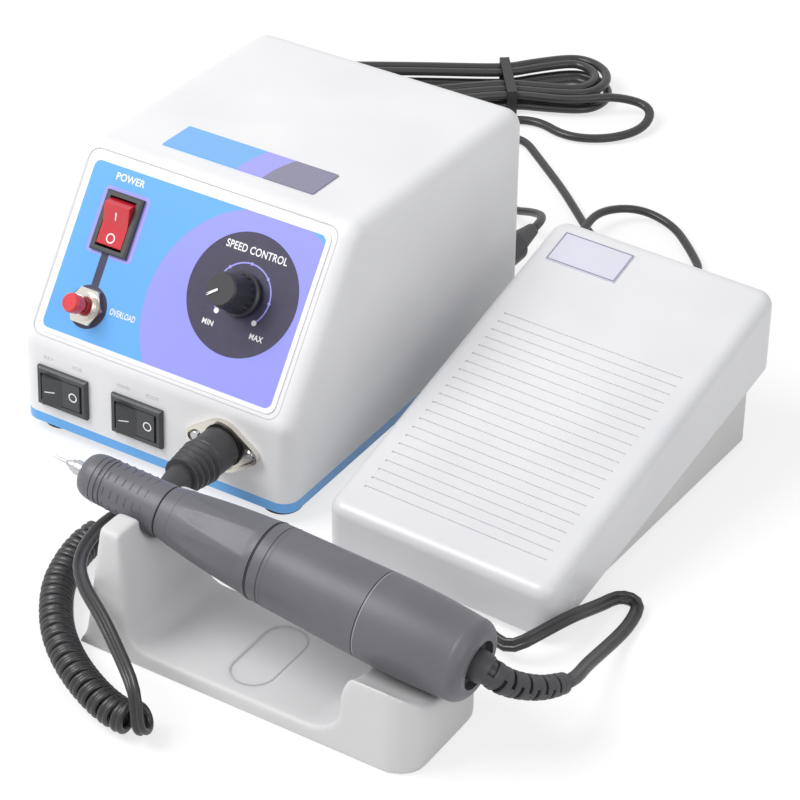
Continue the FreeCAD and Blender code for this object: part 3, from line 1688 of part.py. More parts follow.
LEAD_POINTS = [
    (79.2, -52.0, 25.0),
    (79.3, -64.0, 24.7),
    (84.2, -77.3, 25.0),
    (94.6, -87.8, 25.9),
    (106.5, -94.8, 25.0),
    (116.5, -101.2, 22.3),
]
TAIL_POINTS = [
    (214.6, -13.4, 10.4),
    (218.6, 0.0, 10.2),
    (219.8, 15.0, 4.5),
    (221.5, 26.0, 2.3),
    (231.0, 26.0, 2.2),
    (232.4, 12.0, 2.3),
    (231.0, -4.0, 3.0),
    (232.2, -19.0, 7.0),
]
PEDAL_POINTS = [
    (88.0, 199.5, 15.5),
    (72.0, 208.5, 6.5),
    (57.0, 227.0, 2.2),
    (26.5, 251.7, 2.2),
    (41.0, 269.7, 2.2),
    (60.0, 254.5, 2.2),
    (77.0, 240.8, 2.2),
    (91.0, 228.0, 2.2),
    (106.0, 214.0, 2.2),
    (126.0, 201.0, 2.2),
    (147.0, 199.0, 2.2),
    (153.0, 214.0, 2.2),
    (141.0, 227.0, 2.4),
    (127.5, 238.5, 3.2),
    (111.5, 240.0, 5.0),
    (101.5, 227.5, 6.8),
    (102.5, 212.5, 6.8),
    (107.0, 197.0, 5.0),
    (119.0, 183.0, 3.0),
    (137.0, 178.0, 2.4),
    (151.0, 169.0, 4.5),
]
MAINS_POINTS = [
    (58.0, 200.0, 19.0),
    (49.0, 213.0, 8.0),
    (38.0, 226.0, 2.3),
    (27.0, 241.0, 2.2),
    (22.5, 259.0, 2.2),
    (27.5, 275.0, 2.2),
    (41.0, 283.5, 2.2),
    (57.5, 277.5, 2.2),
    (73.0, 285.0, 2.2),
    (82.0, 299.5, 3.0),
    (78.0, 314.0, 5.5),
]


def handpiece_cords():
    coil_start, coil_head, coil_end, coil_tail = coil()
    plug_end = on_panel("front", "socket_across", "socket_up", "boot_length")
    plug_out = on_panel("front", "socket_across", "socket_up", "boot_length + 8")
    above = coil_start - coil_head.normalize() * 9.5
    points = [plug_end, plug_out] + LEAD_POINTS + [tuple(above), tuple(coil_start)]
    free_cord("handpiece_cord_lead", points, "lead_radius")
    relief_end, relief_way = strain_relief()
    below = relief_end + relief_way * 8
    points = [tuple(coil_end), tuple(coil_end + coil_tail * 2.4)] + TAIL_POINTS
    points += [tuple(below), tuple(relief_end)]
    free_cord("handpiece_cord_tail", points, "lead_radius")


def pedal_cord():
    plug_y = number("unit_depth + 16 + pedal_plug_length")
    plug_end = (number("unit_width - jack_inset"), plug_y, number(CASE_Z + " + jack_up"))
    plug_out = (plug_end[0], plug_y + 10, plug_end[2])
    along = "pedal_length - base_inset + pedal_gland_reach"
    gland_end = on_pedal("pedal_gland_across", along, "pedal_gland_up")
    gland_out = on_pedal("pedal_gland_across", along + " + 12", "pedal_gland_up")
    points = [plug_end, plug_out] + PEDAL_POINTS + [gland_out, gland_end]
    free_cord("pedal_cord", points, "pedal_cord_radius")


# Mains cord, its hank in two layers drawn in by a tie, and the plug on its end


def hank_place(along, across, height):
    turn = math.radians(number("hank_turn"))
    x = number("hank_x") + along * math.cos(turn) - across * math.sin(turn)
    y = number("hank_y") + along * math.sin(turn) + across * math.cos(turn)
    return FreeCAD.Vector(x, y, height)


def hank_path():
    """The hank's points and directions, from the fan end where the cord comes in."""
    fan = number("hank_fan")
    tail = number("hank_tail")
    pitch = number("hank_pitch")
    low = number("hank_low")
    high = low + number("hank_layer")
    origin = hank_place(0, 0, 0)
    forwards = hank_place(1, 0, 0) - origin
    leftwards = hank_place(0, 1, 0) - origin
    points = [hank_place(fan + 17.8, -15.8, high)]
    directions = [points[0] - vector(MAINS_POINTS[-1])]
    points.append(hank_place(fan, -number("hank_inner") - 2 * pitch, high))
    directions.append(-forwards)

    def add(along, across, height, direction):
        points.append(hank_place(along, across, height))
        directions.append(direction)

    def wide(lane):
        return number("hank_inner") + lane * pitch

    def waist(lane):
        return (lane + 0.5) * pitch

    lanes = [2, 1, 0, 1, 2]
    for turn, lane in enumerate(lanes):
        height = high if turn < 3 else low
        add(0, -waist(lane), height, -forwards)
        if turn == len(lanes) - 1:
            break
        after = high if turn < 2 else low
        add(-tail, -wide(lane), height, -forwards)
        add(-tail - wide(lane), 0, (height + after) / 2, leftwards)
        add(-tail, wide(lane), after, forwards)
        add(0, waist(lane), after, forwards)
        coming = wide(lanes[turn + 1])
        add(fan, wide(lane), after, forwards)
        add(fan + (wide(lane) + coming) / 2, (wide(lane) - coming) / 2, after, -leftwards)
        add(fan, -coming, after, -forwards)
    add(18 - tail, -wide(2), low, -forwards)
    return points, directions


def mains():
    points, directions = hank_path()
    gland_y = number("unit_depth + gland_reach")
    gland_end = (number("gland_across"), gland_y, number(CASE_Z + " + gland_up"))
    gland_out = (gland_end[0], gland_end[1] + 11, gland_end[2])
    route = [gland_end, gland_out] + MAINS_POINTS + [tuple(points[0])]
    free_cord("mains_cord", route, "mains_cord_radius")

    height = number("mains_plug_thick/2 + 0.05")
    plug_tail = FreeCAD.Vector(-8.5, 226.5, height)
    points.append(plug_tail)
    directions.append(FreeCAD.Vector(1, -1, 0))
    edges = biarcs(points, directions)
    out = plug_tail + FreeCAD.Vector(1, -1, 0).normalize() * (2 * number("mains_cord_radius"))
    edges.append(Part.LineSegment(plug_tail, out).toShape())
    made = sweep("mains_hank", edges, points[0], directions[0], number("mains_cord_radius"), 6)
    seat(made, "mains_hank")
    dots = Part.Wire(edges).discretize(Distance=1.5)
    least_gap("mains_hank", dots, number("mains_cord_radius"), 12)
    return out


def hank_tie():
    made = body("HankTie")
    half = "(2.5*hank_pitch + mains_cord_radius + free_gap)"
    top = "(hank_low + hank_layer + mains_cord_radius + free_gap)"
    ring = sketch(made, "YZ", "vector(0; 0; -tie_width/2)")
    outer = "2*%s + 2*tie_thick" % half
    rectangle(ring, "-%s - tie_thick" % half, "0", outer, "%s + tie_thick" % top)
    rectangle(ring, "-" + half, "tie_thick", "2*" + half, "%s - tie_thick" % top)
    pad(made, ring, "tie_width")
    seat(made, "hank_tie", "hank_x", "hank_y", "0", "rotationz(hank_turn)")


def mains_plug(start):
    """A flat two-pin plug that lies on the table. Its own X runs from the cord to the pins."""
    made = body("MainsPlug")
    half = "mains_plug_width/2"
    flat = outline(
        sketch(made, "XY", "vector(0; 0; -mains_plug_thick/2)"),
        [
            ("mains_plug_relief - 1", "-0.2*mains_plug_width"),
            ("mains_plug_relief + 9", "-" + half),
            ("mains_plug_relief + mains_plug_length", "-" + half),
            ("mains_plug_relief + mains_plug_length", half),
            ("mains_plug_relief + 9", half),
            ("mains_plug_relief - 1", "0.2*mains_plug_width"),
        ],
    )
    block = pad(made, flat, "mains_plug_thick")
    round_edges(made, block, "3.5", lambda edge: upright(edge) and edge.BoundBox.XMin < 40)
    pins = sketch(made, "YZ", "vector(0; 0; mains_plug_relief + mains_plug_length - 2)")
    for side_sign in ("-", ""):
        circle(pins, "mains_pin_radius", side_sign + "mains_pin_span/2")
    pad(made, pins, "mains_pin_length + 2")
    relief = outline(
        sketch(made, "XZ"),
        [
            ("0", "0"),
            ("0", "mains_cord_radius + 0.6"),
            ("mains_plug_relief", "mains_plug_thick/2 - 1"),
            ("mains_plug_relief", "0"),
        ],
    )
    revolve(made, relief, "H_Axis")
    seat(made, "mains_plug", *["%.4f" % value for value in start], "rotationz(-45)")


# Return spring under the treadle: a round wire in half-turn steps, closed at both ends


def pedal_spring():
    turns = int(number("spring_turns"))
    low = number("base_lift + base_wall + spring_wire + 0.1")
    ceiling = number("heel_height + spring_along*tan(%s) - treadle_wall/cos(%s)" % (RAMP, RAMP))
    radius = number("spring_radius")
    rise = (ceiling - number("spring_wire") - 1.6 - low) / turns
    points = []
    directions = []
    for index in range(2 * turns + 1):
        angle = math.pi * index
        round_about = (-math.sin(angle), math.cos(angle), rise / (2 * math.pi * radius))
        height = low + rise * index / 2
        points.append(FreeCAD.Vector(radius * math.cos(angle), radius * math.sin(angle), height))
        directions.append(vector(round_about))
    edges = biarcs(points, directions)
    made = sweep("pedal_spring", edges, points[0], directions[0], number("spring_wire"), 4)
    seat_on_pedal(made, "pedal_spring", "spring_across", "spring_along")


def build_all():
    case_shell()
    base_tray()
    unit_feet()
    base_screws()
    panel_label()
    top_label()
    switches()
    breaker()
    speed_control()
    socket()
    cord_plug()
    transformer()
    circuit_board()
    rear_fittings()
    handpiece_shells()
    handpiece_works()
    cradle()
    treadle()
    pedal_base()
    pedal_fittings()
    pedal_spring()
    handpiece_cords()
    pedal_cord()
    hank_tie()
    mains_plug(mains())


# The cords and what is on them
CORD_NODES = (
    "cord_plug",
    "plug_boot",
    "handpiece_cord_lead",
    "handpiece_coil",
    "handpiece_cord_tail",
    "pedal_plug",
    "pedal_cord",
    "mains_cord",
    "mains_hank",
    "hank_tie",
    "mains_plug",
)


def centre_the_set():
    """Moves the set so that its origin lies under the middle of everything but the cords."""
    limits = FreeCAD.BoundBox()
    for part in parts:
        if part.Label not in CORD_NODES:
            limits.add(part.Shape.BoundBox)
    for word, value in (("origin_x", limits.Center.x), ("origin_y", limits.Center.y)):
        sheet.set(sheet.getCellFromAlias(word), "%.3f" % value)
    doc.recompute()


def check_all():
    for thing in doc.Objects:
        if "Invalid" in thing.State or "Error" in thing.State:
            raise RuntimeError("%s (%s) failed" % (thing.Name, thing.Label))
    for part in parts:
        if part.Shape.isNull() or not part.Shape.isValid():
            raise RuntimeError("%s has no valid shape" % part.Label)


build_all()
doc.recompute()
check_all()
centre_the_set()
check_all()
os.makedirs("parts", exist_ok=True)
for part in parts:
    part.Shape.exportStep(os.path.join("parts", part.Label + ".step"))
print("%d sub-parts written" % len(parts))
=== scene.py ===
# %% [markdown]
# A dental lab micromotor, dressed for its portrait.
# The set has a white control unit with a sloping blue panel, a grey motor handpiece that lies in
# a pale cradle, a curly cord between them, a treadle pedal and two more cords behind.
# The shapes come from the frame, a finished model in which every piece already has its place.
# This file adds what a frame has not: the finishes, the printed panel, the small marks and the
# cords, and it ends with a soft light and a camera.

import math

import bmesh
import bpy
from mathutils import Matrix, Vector
from mathutils.bvhtree import BVHTree


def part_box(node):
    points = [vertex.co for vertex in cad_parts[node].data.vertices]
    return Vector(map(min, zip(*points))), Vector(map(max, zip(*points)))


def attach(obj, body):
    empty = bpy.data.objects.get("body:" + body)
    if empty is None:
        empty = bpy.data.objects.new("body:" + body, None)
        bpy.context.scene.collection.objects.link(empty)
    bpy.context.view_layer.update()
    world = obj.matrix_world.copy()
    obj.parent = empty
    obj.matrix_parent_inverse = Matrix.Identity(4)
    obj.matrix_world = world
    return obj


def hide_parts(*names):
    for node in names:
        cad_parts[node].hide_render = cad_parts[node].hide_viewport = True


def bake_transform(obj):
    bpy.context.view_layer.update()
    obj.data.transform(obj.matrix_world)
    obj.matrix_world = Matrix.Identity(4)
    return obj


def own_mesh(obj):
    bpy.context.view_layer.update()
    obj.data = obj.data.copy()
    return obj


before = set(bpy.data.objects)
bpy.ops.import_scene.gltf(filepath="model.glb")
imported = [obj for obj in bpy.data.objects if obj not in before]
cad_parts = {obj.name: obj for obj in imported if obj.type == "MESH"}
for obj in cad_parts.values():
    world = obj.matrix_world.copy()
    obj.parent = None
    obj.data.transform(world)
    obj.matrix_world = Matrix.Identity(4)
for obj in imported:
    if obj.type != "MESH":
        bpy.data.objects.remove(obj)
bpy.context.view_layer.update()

# %% [markdown]
# Every length below is written in millimetres on the table, measured from the unit's front left
# corner: x to the right along its front, y towards its back, z up from the table top.
# The frame has its own zero in the middle of the set and counts in metres, so one helper
# turns the first into the second, and nothing else has to know about it.

# %% Places on the table
MIDDLE = (118.555, 45.75)


def on_table(x, y, z):
    """A point in the frame, in metres, from millimetres on the table."""
    return Vector(((x - MIDDLE[0]) / 1000, (y - MIDDLE[1]) / 1000, z / 1000))


print("front left corner of the unit:", tuple(on_table(0, 0, 0)))

# %% [markdown]
# The unit has two faces that carry things: the upright front and the slope above it.
# A point on such a face is easiest to give as a printer would: so far across, so far up the
# face, and so far out from it. The lean of each face comes from the same heights as the case.

# %% Places on the unit's two faces
FACES = {
    "front": (math.atan2(29.2, 1.3), 0.0, 8.5),
    "slope": (math.atan2(56.6, 40.9), 1.3, 37.7),
}


def on_face(face, across, up, out=0.0):
    lean, foot_y, foot_z = FACES[face]
    y = foot_y + up * math.cos(lean) - out * math.sin(lean)
    z = foot_z + up * math.sin(lean) + out * math.cos(lean)
    return on_table(across, y, z)


def face_matrix(face, across=0.0, up=0.0, out=0.0, turn=0.0):
    """Carries millimetres in the plane of a face into the frame."""
    lean = FACES[face][0]
    place = Matrix.Translation(on_face(face, across, up, out))
    leant = place @ Matrix.Rotation(lean, 4, "X")
    return leant @ Matrix.Rotation(turn, 4, "Z") @ Matrix.Scale(0.001, 4)


print("middle of the speed knob:", tuple(on_face("slope", 78.1, 37.2)))

# %% [markdown]
# The handpiece has its own line: it lies nose first, leaning down to its tail by five and a half
# degrees. Places on it are given along that line, with an angle round it and a distance from it.

# %% Places on the handpiece
HAND_LEAN = math.radians(5.55)
HAND_MATRIX = (
    Matrix.Translation(on_table(73.0, -63.0, 48.8))
    @ Matrix.Rotation(HAND_LEAN, 4, "Y")
    @ Matrix.Scale(0.001, 4)
)


def on_hand(along, angle=0.0, radius=0.0):
    """Angle 0 is on top of the handpiece and 90 on its far side."""
    turn = math.radians(angle)
    return HAND_MATRIX @ Vector((along, radius * math.sin(turn), radius * math.cos(turn)))


print("nose and tail:", tuple(on_hand(3)), tuple(on_hand(149.1)))

# %% [markdown]
# The camera stands to the right of the set and looks down on it by about 34 degrees.
# A long lens from close to a metre away keeps the edges nearly parallel, as in a catalogue.
# Its three axes are built from those angles, so the view can be checked by hand.

# %% The camera
def look(azimuth, elevation, roll):
    a, e, r = (math.radians(v) for v in (azimuth, elevation, roll))
    back = Vector((math.sin(a) * math.cos(e), -math.cos(a) * math.cos(e), math.sin(e)))
    right = Vector((math.cos(a), math.sin(a), 0))
    up = back.cross(right)
    turned_right = math.cos(r) * right + math.sin(r) * up
    turned_up = -math.sin(r) * right + math.cos(r) * up
    return Matrix((turned_right, turned_up, back)).transposed().to_4x4()


camera_data = bpy.data.cameras.new("camera")
camera_data.sensor_width = 36
camera_data.lens = 132.8
camera = bpy.data.objects.new("camera", camera_data)
bpy.context.scene.collection.objects.link(camera)
camera_place = Matrix.Translation(on_table(557.34, -644.61, 584.70))
camera.matrix_world = camera_place @ look(32.05, 34.22, 0.59)
bpy.context.scene.camera = camera
print("the camera stands at", tuple(camera.matrix_world.translation))

# %% [markdown]
# A cord follows a smooth line. A few points are given where it bends, and a NURBS
# spline of order three rounds them off. Reading that spline back as a plain row of points gives
# a line that any skin can follow, whether round, flat or twisted.

# %% A smooth line through a route
def smooth_line(name, route, steps=8):
    curve = bpy.data.curves.new(name, "CURVE")
    curve.dimensions = "3D"
    spline = curve.splines.new("NURBS")
    spline.points.add(len(route) - 1)
    for point, place in zip(spline.points, route):
        point.co = (*place, 1)
    spline.order_u = 3
    spline.use_endpoint_u = True
    spline.resolution_u = steps
    holder = bpy.data.objects.new(name, curve)
    read = bpy.data.meshes.new_from_object(holder)
    line = [vertex.co.copy() for vertex in read.vertices]
    bpy.data.objects.remove(holder)
    bpy.data.curves.remove(curve)
    bpy.data.meshes.remove(read)
    return line


def line_length(line):
    return sum((b - a).length for a, b in zip(line, line[1:]))


trial = smooth_line("trial", [(0, 0, 0), (0.1, 0, 0), (0.1, 0.1, 0)])
print("a trial corner has", len(trial), "points and", round(line_length(trial), 4), "m")

# %% [markdown]
# The cords are two thin wires side by side in one skin, like a flat bell wire.
# Their section is two circles that run into each other. Set far apart they read as a flat twin
# cord, and set close they read as one plump cord with a shallow groove.

# %% The section of a twin cord
def twin_section(strand, apart, around=9):
    """Points round a twin cord, in millimetres: strand radius, and each centre's distance."""
    opening = math.acos(-apart / strand)
    points = []
    for side in (1, -1):
        for index in range(around):
            angle = -opening + 2 * opening * index / around
            across = apart + strand * math.cos(angle)
            points.append((side * across, side * strand * math.sin(angle)))
    return points


HAND_CORD = twin_section(1.15, 1.1)
print("handpiece cord section:", [(round(a, 2), round(b, 2)) for a, b in HAND_CORD[:4]])

# %% [markdown]
# The skin is a row of rings along the line. At each point the section needs to know which way
# its wide side points: for a cord that lies on a table that is level with the table, and for
# the curls it runs along the coil. The ends are closed, so the skin is a solid.

# %% The skin of a cord
def new_piece(name, vertices, faces, smooth=True):
    mesh = bpy.data.meshes.new(name)
    mesh.from_pydata([tuple(v) for v in vertices], [], faces)
    mesh.validate()
    mesh.shade_smooth() if smooth else mesh.shade_flat()
    piece = bpy.data.objects.new(name, mesh)
    bpy.context.scene.collection.objects.link(piece)
    return piece


def cord_skin(name, line, wides, section):
    vertices, faces = [], []
    count = len(section)
    last = len(line) - 1
    for index, point in enumerate(line):
        along = (line[min(index + 1, last)] - line[max(index - 1, 0)]).normalized()
        wide = (wides[index] - along * along.dot(wides[index])).normalized()
        thick = along.cross(wide)
        vertices += [point + (wide * a + thick * b) * 0.001 for a, b in section]
    for ring in range(last):
        for side in range(count):
            a, b = ring * count + side, ring * count + (side + 1) % count
            faces.append((a, b, b + count, a + count))
    faces.append(tuple(reversed(range(count))))
    faces.append(tuple(range(last * count, (last + 1) * count)))
    piece = new_piece(name, vertices, faces)
    for face in (piece.data.polygons[-1], piece.data.polygons[-2]):
        face.use_smooth = False
    print(name, "has", len(faces), "faces and is", round(line_length(line), 4), "m long")
    return piece


def level_wides(line):
    """The wide side lies level, square to the way the cord runs."""
    up = Vector((0, 0, 1))
    last = len(line) - 1
    return [
        (line[min(i + 1, last)] - line[max(i - 1, 0)]).normalized().cross(up).normalized()
        for i in range(len(line))
    ]


print("ready to skin cords")

# %% [markdown]
# Many parts are turned on a lathe: a nose, a bush, a ring. Such a part is a profile, given as
# pairs of height and radius, that goes round an axis. The axis may be any line, even a bent
# one, because the caller passes a function that turns height, angle and radius into a place.
# A part that goes less than all the way round gets its profile as an end on both sides.

# %% Turned parts
def close_up(piece, degrees=35):
    """Welds a piece, turns its faces outwards and keeps the edges that are sharper than this."""
    work = bmesh.new()
    work.from_mesh(piece.data)
    bmesh.ops.remove_doubles(work, verts=work.verts, dist=1e-7)
    bmesh.ops.recalc_face_normals(work, faces=work.faces)
    for edge in work.edges:
        sharp = len(edge.link_faces) == 2 and edge.calc_face_angle(0) > math.radians(degrees)
        edge.smooth = not sharp
    work.to_mesh(piece.data)
    work.free()
    return piece


def lathe(name, parts, place, sides=72):
    """Each part is a closed profile of (height, radius), a start angle and a sweep in degrees."""
    vertices, faces = [], []
    for profile, start, sweep in parts:
        whole = abs(sweep) == 360
        steps = sides if whole else max(3, round(sides * abs(sweep) / 360))
        rings = steps if whole else steps + 1
        count, first = len(profile), len(vertices)
        for i in range(rings):
            vertices += [place(height, start + sweep * i / steps, r) for height, r in profile]
        for i in range(steps):
            a, b = first + i * count, first + ((i + 1) % rings) * count
            for j in range(count):
                k = (j + 1) % count
                faces.append((a + j, a + k, b + k, b + j))
        if not whole:
            faces.append(tuple(range(first, first + count)))
            faces.append(tuple(range(first + (rings - 1) * count, first + rings * count)))
    return close_up(new_piece(name, vertices, faces))


def on_axis_of(matrix):
    """The axis of a turned part that stands on a face."""
    return lambda height, angle, radius: matrix @ Vector(
        (radius * math.cos(math.radians(angle)), radius * math.sin(math.radians(angle)), height)
    )


trial = lathe("trial_ring", [([(0, 2), (0, 3), (1, 3), (1, 2)], 0, 360)], on_hand)
print("a trial ring has", len(trial.data.polygons), "faces")
bpy.data.objects.remove(trial)

# %% [markdown]
# The handpiece cord comes out of its boot on the unit, dips to the left and rises to the first
# curl. The curls are wound on an invisible rod that lies on the table, first tightly, with
# 21 neat turns, then stretched by the handpiece's weight. The rod is itself a smooth line.

# %% The rod that the curls are wound on
CURL_ROD = [
    (135.3, -111.4, 9.6),
    (131.5, -111.9, 7.4),
    (127.0, -112.0, 6.3),
    (121.7, -111.0, 6.1),
    (116.0, -109.3, 6.1),
    (109.2, -106.4, 6.1),
    (102.6, -103.0, 6.1),
    (95.6, -98.7, 6.1),
    (87.2, -92.2, 6.1),
    (79.1, -83.7, 6.1),
    (70.6, -71.5, 6.1),
    (66.6, -60.2, 6.1),
    (65.1, -53.4, 6.1),
    (64.6, -46.3, 6.1),
    (66.5, -37.5, 6.1),
    (73.5, -29.5, 6.1),
    (84.0, -26.0, 6.1),
    (100.0, -25.0, 6.1),
    (130.0, -25.0, 6.1),
    (155.0, -25.0, 6.1),
    (174.0, -19.5, 6.1),
    (186.0, -14.8, 6.1),
    (196.0, -16.2, 6.0),
]
rod = smooth_line("curl_rod", [on_table(*p) for p in CURL_ROD], 12)
rod_marks = [0.0]
for a, b in zip(rod, rod[1:]):
    rod_marks.append(rod_marks[-1] + (b - a).length)
print("the rod is", round(rod_marks[-1] * 1000, 1), "mm long")


def on_rod(distance):
    """The rod's point and direction at a distance in metres from its start."""
    distance = min(max(distance, 0.0), rod_marks[-1])
    index = 0
    while index < len(rod) - 2 and rod_marks[index + 1] < distance:
        index += 1
    share = (distance - rod_marks[index]) / (rod_marks[index + 1] - rod_marks[index])
    before, after = rod[max(index - 1, 0)], rod[min(index + 2, len(rod) - 1)]
    return rod[index].lerp(rod[index + 1], share), (after - before).normalized()


# %% [markdown]
# A helix round that rod gives the curls: fourteen points a turn, each one a step further
# round and a step further along. The pitch opens up after the tight part, and over the last
# turn and a half the helix closes in on the rod, where the cord runs straight again.

# %% The curls
CURL_RADIUS = 4.45
POINTS_A_TURN = 14
TIGHT_TURNS = 21
half_turns = [0.0, 4.0, 8.0]
while len(half_turns) <= 2 * TIGHT_TURNS:
    half_turns.append(half_turns[-1] + 2.5)
spare = rod_marks[-1] * 1000 - half_turns[-1]
loose = round(spare / 8.0)
half_turns += [half_turns[-1] + spare * (i + 1) / loose for i in range(loose)]
curls, curl_wides = [], []
for step in range((len(half_turns) - 1) * POINTS_A_TURN // 2 + 1):
    turned = step / (POINTS_A_TURN / 2)
    whole = min(int(turned), len(half_turns) - 2)
    station = half_turns[whole] + (half_turns[whole + 1] - half_turns[whole]) * (turned - whole)
    centre, along = on_rod(station / 1000)
    across = Vector((0, 0, 1)).cross(along).normalized()
    over = along.cross(across)
    left_over = len(half_turns) - 1 - turned
    radius = CURL_RADIUS * min(1.0, left_over / 3) / 1000
    angle = math.radians(-30 + 180 * turned)
    curls.append(centre + (across * math.cos(angle) - over * math.sin(angle)) * radius)
    curl_wides.append(along)
print(len(curls), "points in", round((len(half_turns) - 1) / 2, 1), "turns")

# %% [markdown]
# The whole handpiece cord is one line: the free lead, the curls, and the free tail that loops
# back under the rear of the handpiece and enters the ribbed strain relief from below.
# The wide side of the skin follows the rod in the curls. From both ends of the curls it is
# carried along the free parts, so that the cord doesn't twist on its own axis.

# %% The handpiece cord
LEAD = [
    (79.2, -52.0, 25.0),
    (79.3, -64.0, 24.7),
    (84.2, -77.3, 25.0),
    (94.6, -87.8, 25.9),
    (106.5, -94.8, 25.0),
    (116.5, -101.2, 22.3),
]
TAIL = [
    (207.7, -21.8, 6.0),
    (214.6, -13.4, 10.4),
    (218.6, 0.0, 10.2),
    (219.8, 15.0, 4.5),
    (221.5, 26.0, 2.3),
    (229.0, 26.0, 2.2),
    (231.4, 14.0, 2.4),
    (232.2, 1.8, 4.4),
    (233.2, -9.0, 7.4),
    (234.7, -21.0, 11.2),
]
RELIEF = [
    (225.4, -63.0, 33.6),
    (228.0, -61.2, 30.6),
    (231.0, -57.0, 27.0),
    (234.2, -50.5, 22.9),
    (235.8, -44.0, 19.7),
    (236.5, -38.0, 17.2),
]
boot_end = on_face("front", 85.0, 15.5, 35.0)
lead = [boot_end, on_face("front", 85.0, 15.5, 43.0)] + [on_table(*p) for p in LEAD]
lead.append(curls[0] + (curls[0] - curls[1]).normalized() * 0.0095)
spine = smooth_line(
    "relief_spine", [on_hand(146.5), on_hand(150.0)] + [on_table(*p) for p in RELIEF], 12
)
relief_end = spine[-1]
relief_way = (spine[-1] - spine[-2]).normalized()
print("the strain relief is", round(line_length(spine) * 1000, 1), "mm long")

# %% [markdown]
# The whole cord is one smooth line: the free lead, the curls and the tail that ends in the
# strain relief. Where the line bends, its flat side could flip over, so a direction is carried
# along it from point to point and straightened a little at each.

# %% The line of the handpiece cord
tail = [on_table(*p) for p in TAIL] + [relief_end + relief_way * 0.006, relief_end]
route = lead + curls + tail
STEPS = 3
line = smooth_line("handpiece_cord", route, STEPS)


def carried(line, start, stop, wide):
    """Carries a direction along the line from one point to another, without a twist."""
    found = {start: wide}
    step = 1 if stop > start else -1
    for index in range(start, stop, step):
        way = (line[index + step] - line[index]).normalized()
        wide = (wide - way * way.dot(wide)).normalized()
        found[index + step] = wide
    return found


print("the handpiece cord's line has", len(line), "points")

# %% [markdown]
# On the curls the wide side faces out of the coil. On the free parts it turns, over a dozen
# points, until both strands show from the front, as they do on the real cord.

# %% The wide side of the handpiece cord
first_curl = len(lead) * STEPS
last_curl = (len(lead) + len(curls) - 2) * STEPS
wides = {}
for index in range(first_curl, last_curl + 1):
    place = index / STEPS + 0.5 - len(lead)
    wides[index] = curl_wides[min(max(round(place), 0), len(curls) - 1)]


def laid_flat(line, start, stop, wide, ends=12):
    """Carries the wide side on, and turns it slowly until both strands show from the front."""
    found = {start: wide}
    step = 1 if stop > start else -1
    for count, index in enumerate(range(start, stop, step)):
        way = (line[index + step] - line[index]).normalized()
        flat = way.cross(Vector((0.44, -0.70, 0.56))).normalized()
        flat = flat if flat.dot(wide) > 0 else -flat
        wide = wide.lerp(flat, min(count / ends, 1.0) ** 2)
        wide = (wide - way * way.dot(wide)).normalized()
        found[index + step] = wide
    return found


wides.update(laid_flat(line, first_curl, 0, wides[first_curl]))
wides.update(laid_flat(line, last_curl, len(line) - 1, wides[last_curl]))
handpiece_cord = cord_skin(
    "handpiece_cord_twin", line, [wides[i] for i in range(len(line))], HAND_CORD
)
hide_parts("handpiece_cord_lead", "handpiece_coil", "handpiece_cord_tail")
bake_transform(handpiece_cord)
print("the handpiece cord has", len(handpiece_cord.data.polygons), "faces")

# %% [markdown]
# The strain relief is a rubber sleeve that keeps the cord from being bent at the handpiece's
# tail. It is cut into rings that hang together by small bridges, on two sides at a time and a
# quarter turn on at the next cut, so it gives in every direction. Through the cuts one sees
# the black of the cord's own jacket.

# %% Places round the strain relief
spine_marks = [0.0]
for a, b in zip(spine, spine[1:]):
    spine_marks.append(spine_marks[-1] + (b - a).length * 1000)
spine_wides = carried(spine, 0, len(spine) - 1, Vector((0, 1, 0)))


def on_spine(station, angle, radius):
    """A place round the bent axis of the strain relief, in millimetres from its start."""
    index = 0
    while index < len(spine) - 2 and spine_marks[index + 1] < station:
        index += 1
    share = (station - spine_marks[index]) / (spine_marks[index + 1] - spine_marks[index])
    way = (spine[index + 1] - spine[index]).normalized()
    wide = spine_wides[index].lerp(spine_wides[index + 1], share)
    wide = (wide - way * way.dot(wide)).normalized()
    turn = math.radians(angle)
    reach = (wide * math.cos(turn) + way.cross(wide) * math.sin(turn)) * radius / 1000
    return spine[index].lerp(spine[index + 1], share) + reach


relief_long = spine_marks[-1]
print("places round a bent axis of", round(relief_long, 1), "mm")

# %% [markdown]
# Each ring is a closed profile that goes all the way round that bent axis, and each bridge is
# one that goes only 68 degrees round. The sleeve gets thinner towards its end by one rule.

# %% The rings of the strain relief
RING_PITCH, RING_WIDE, RING_BORE = 3.3, 2.1, 2.4
BRIDGE_TURN = 68


def relief_radius(station):
    return 4.75 - 1.35 * station / relief_long


parts = [([(0, 2.6), (0, 5.3), (3, 5.1), (5.6, 4.75), (6, 4.4), (6, 2.6), (3, 2.6)], 0, 360)]
start, count = 7.2, 0
while start + RING_WIDE < relief_long - 3.5:
    end, wide = start + RING_WIDE, relief_radius(start)
    ring = [
        (start, RING_BORE), (start, wide - 0.35), (start + 0.35, wide), (end - 0.35, wide),
        (end, wide - 0.35), (end, RING_BORE),
    ]
    parts.append((ring, 0, 360))
    bridge = [
        (start - 1.35, RING_BORE), (start - 1.35, wide - 0.12), (start + 0.2, wide - 0.12),
        (start + 0.2, RING_BORE),
    ]
    for side in (0, 180):
        parts.append((bridge, side + 90 * (count % 2) - BRIDGE_TURN / 2, BRIDGE_TURN))
    start, count = start + RING_PITCH, count + 1
last = relief_radius(relief_long)
parts.append(([
    (start - 1.35, 2.4), (start - 1.35, last - 0.5), (start - 0.9, last), (relief_long - 0.6, last),
    (relief_long, last - 0.5), (relief_long, 1.2), (start, 1.2),
], 0, 360))
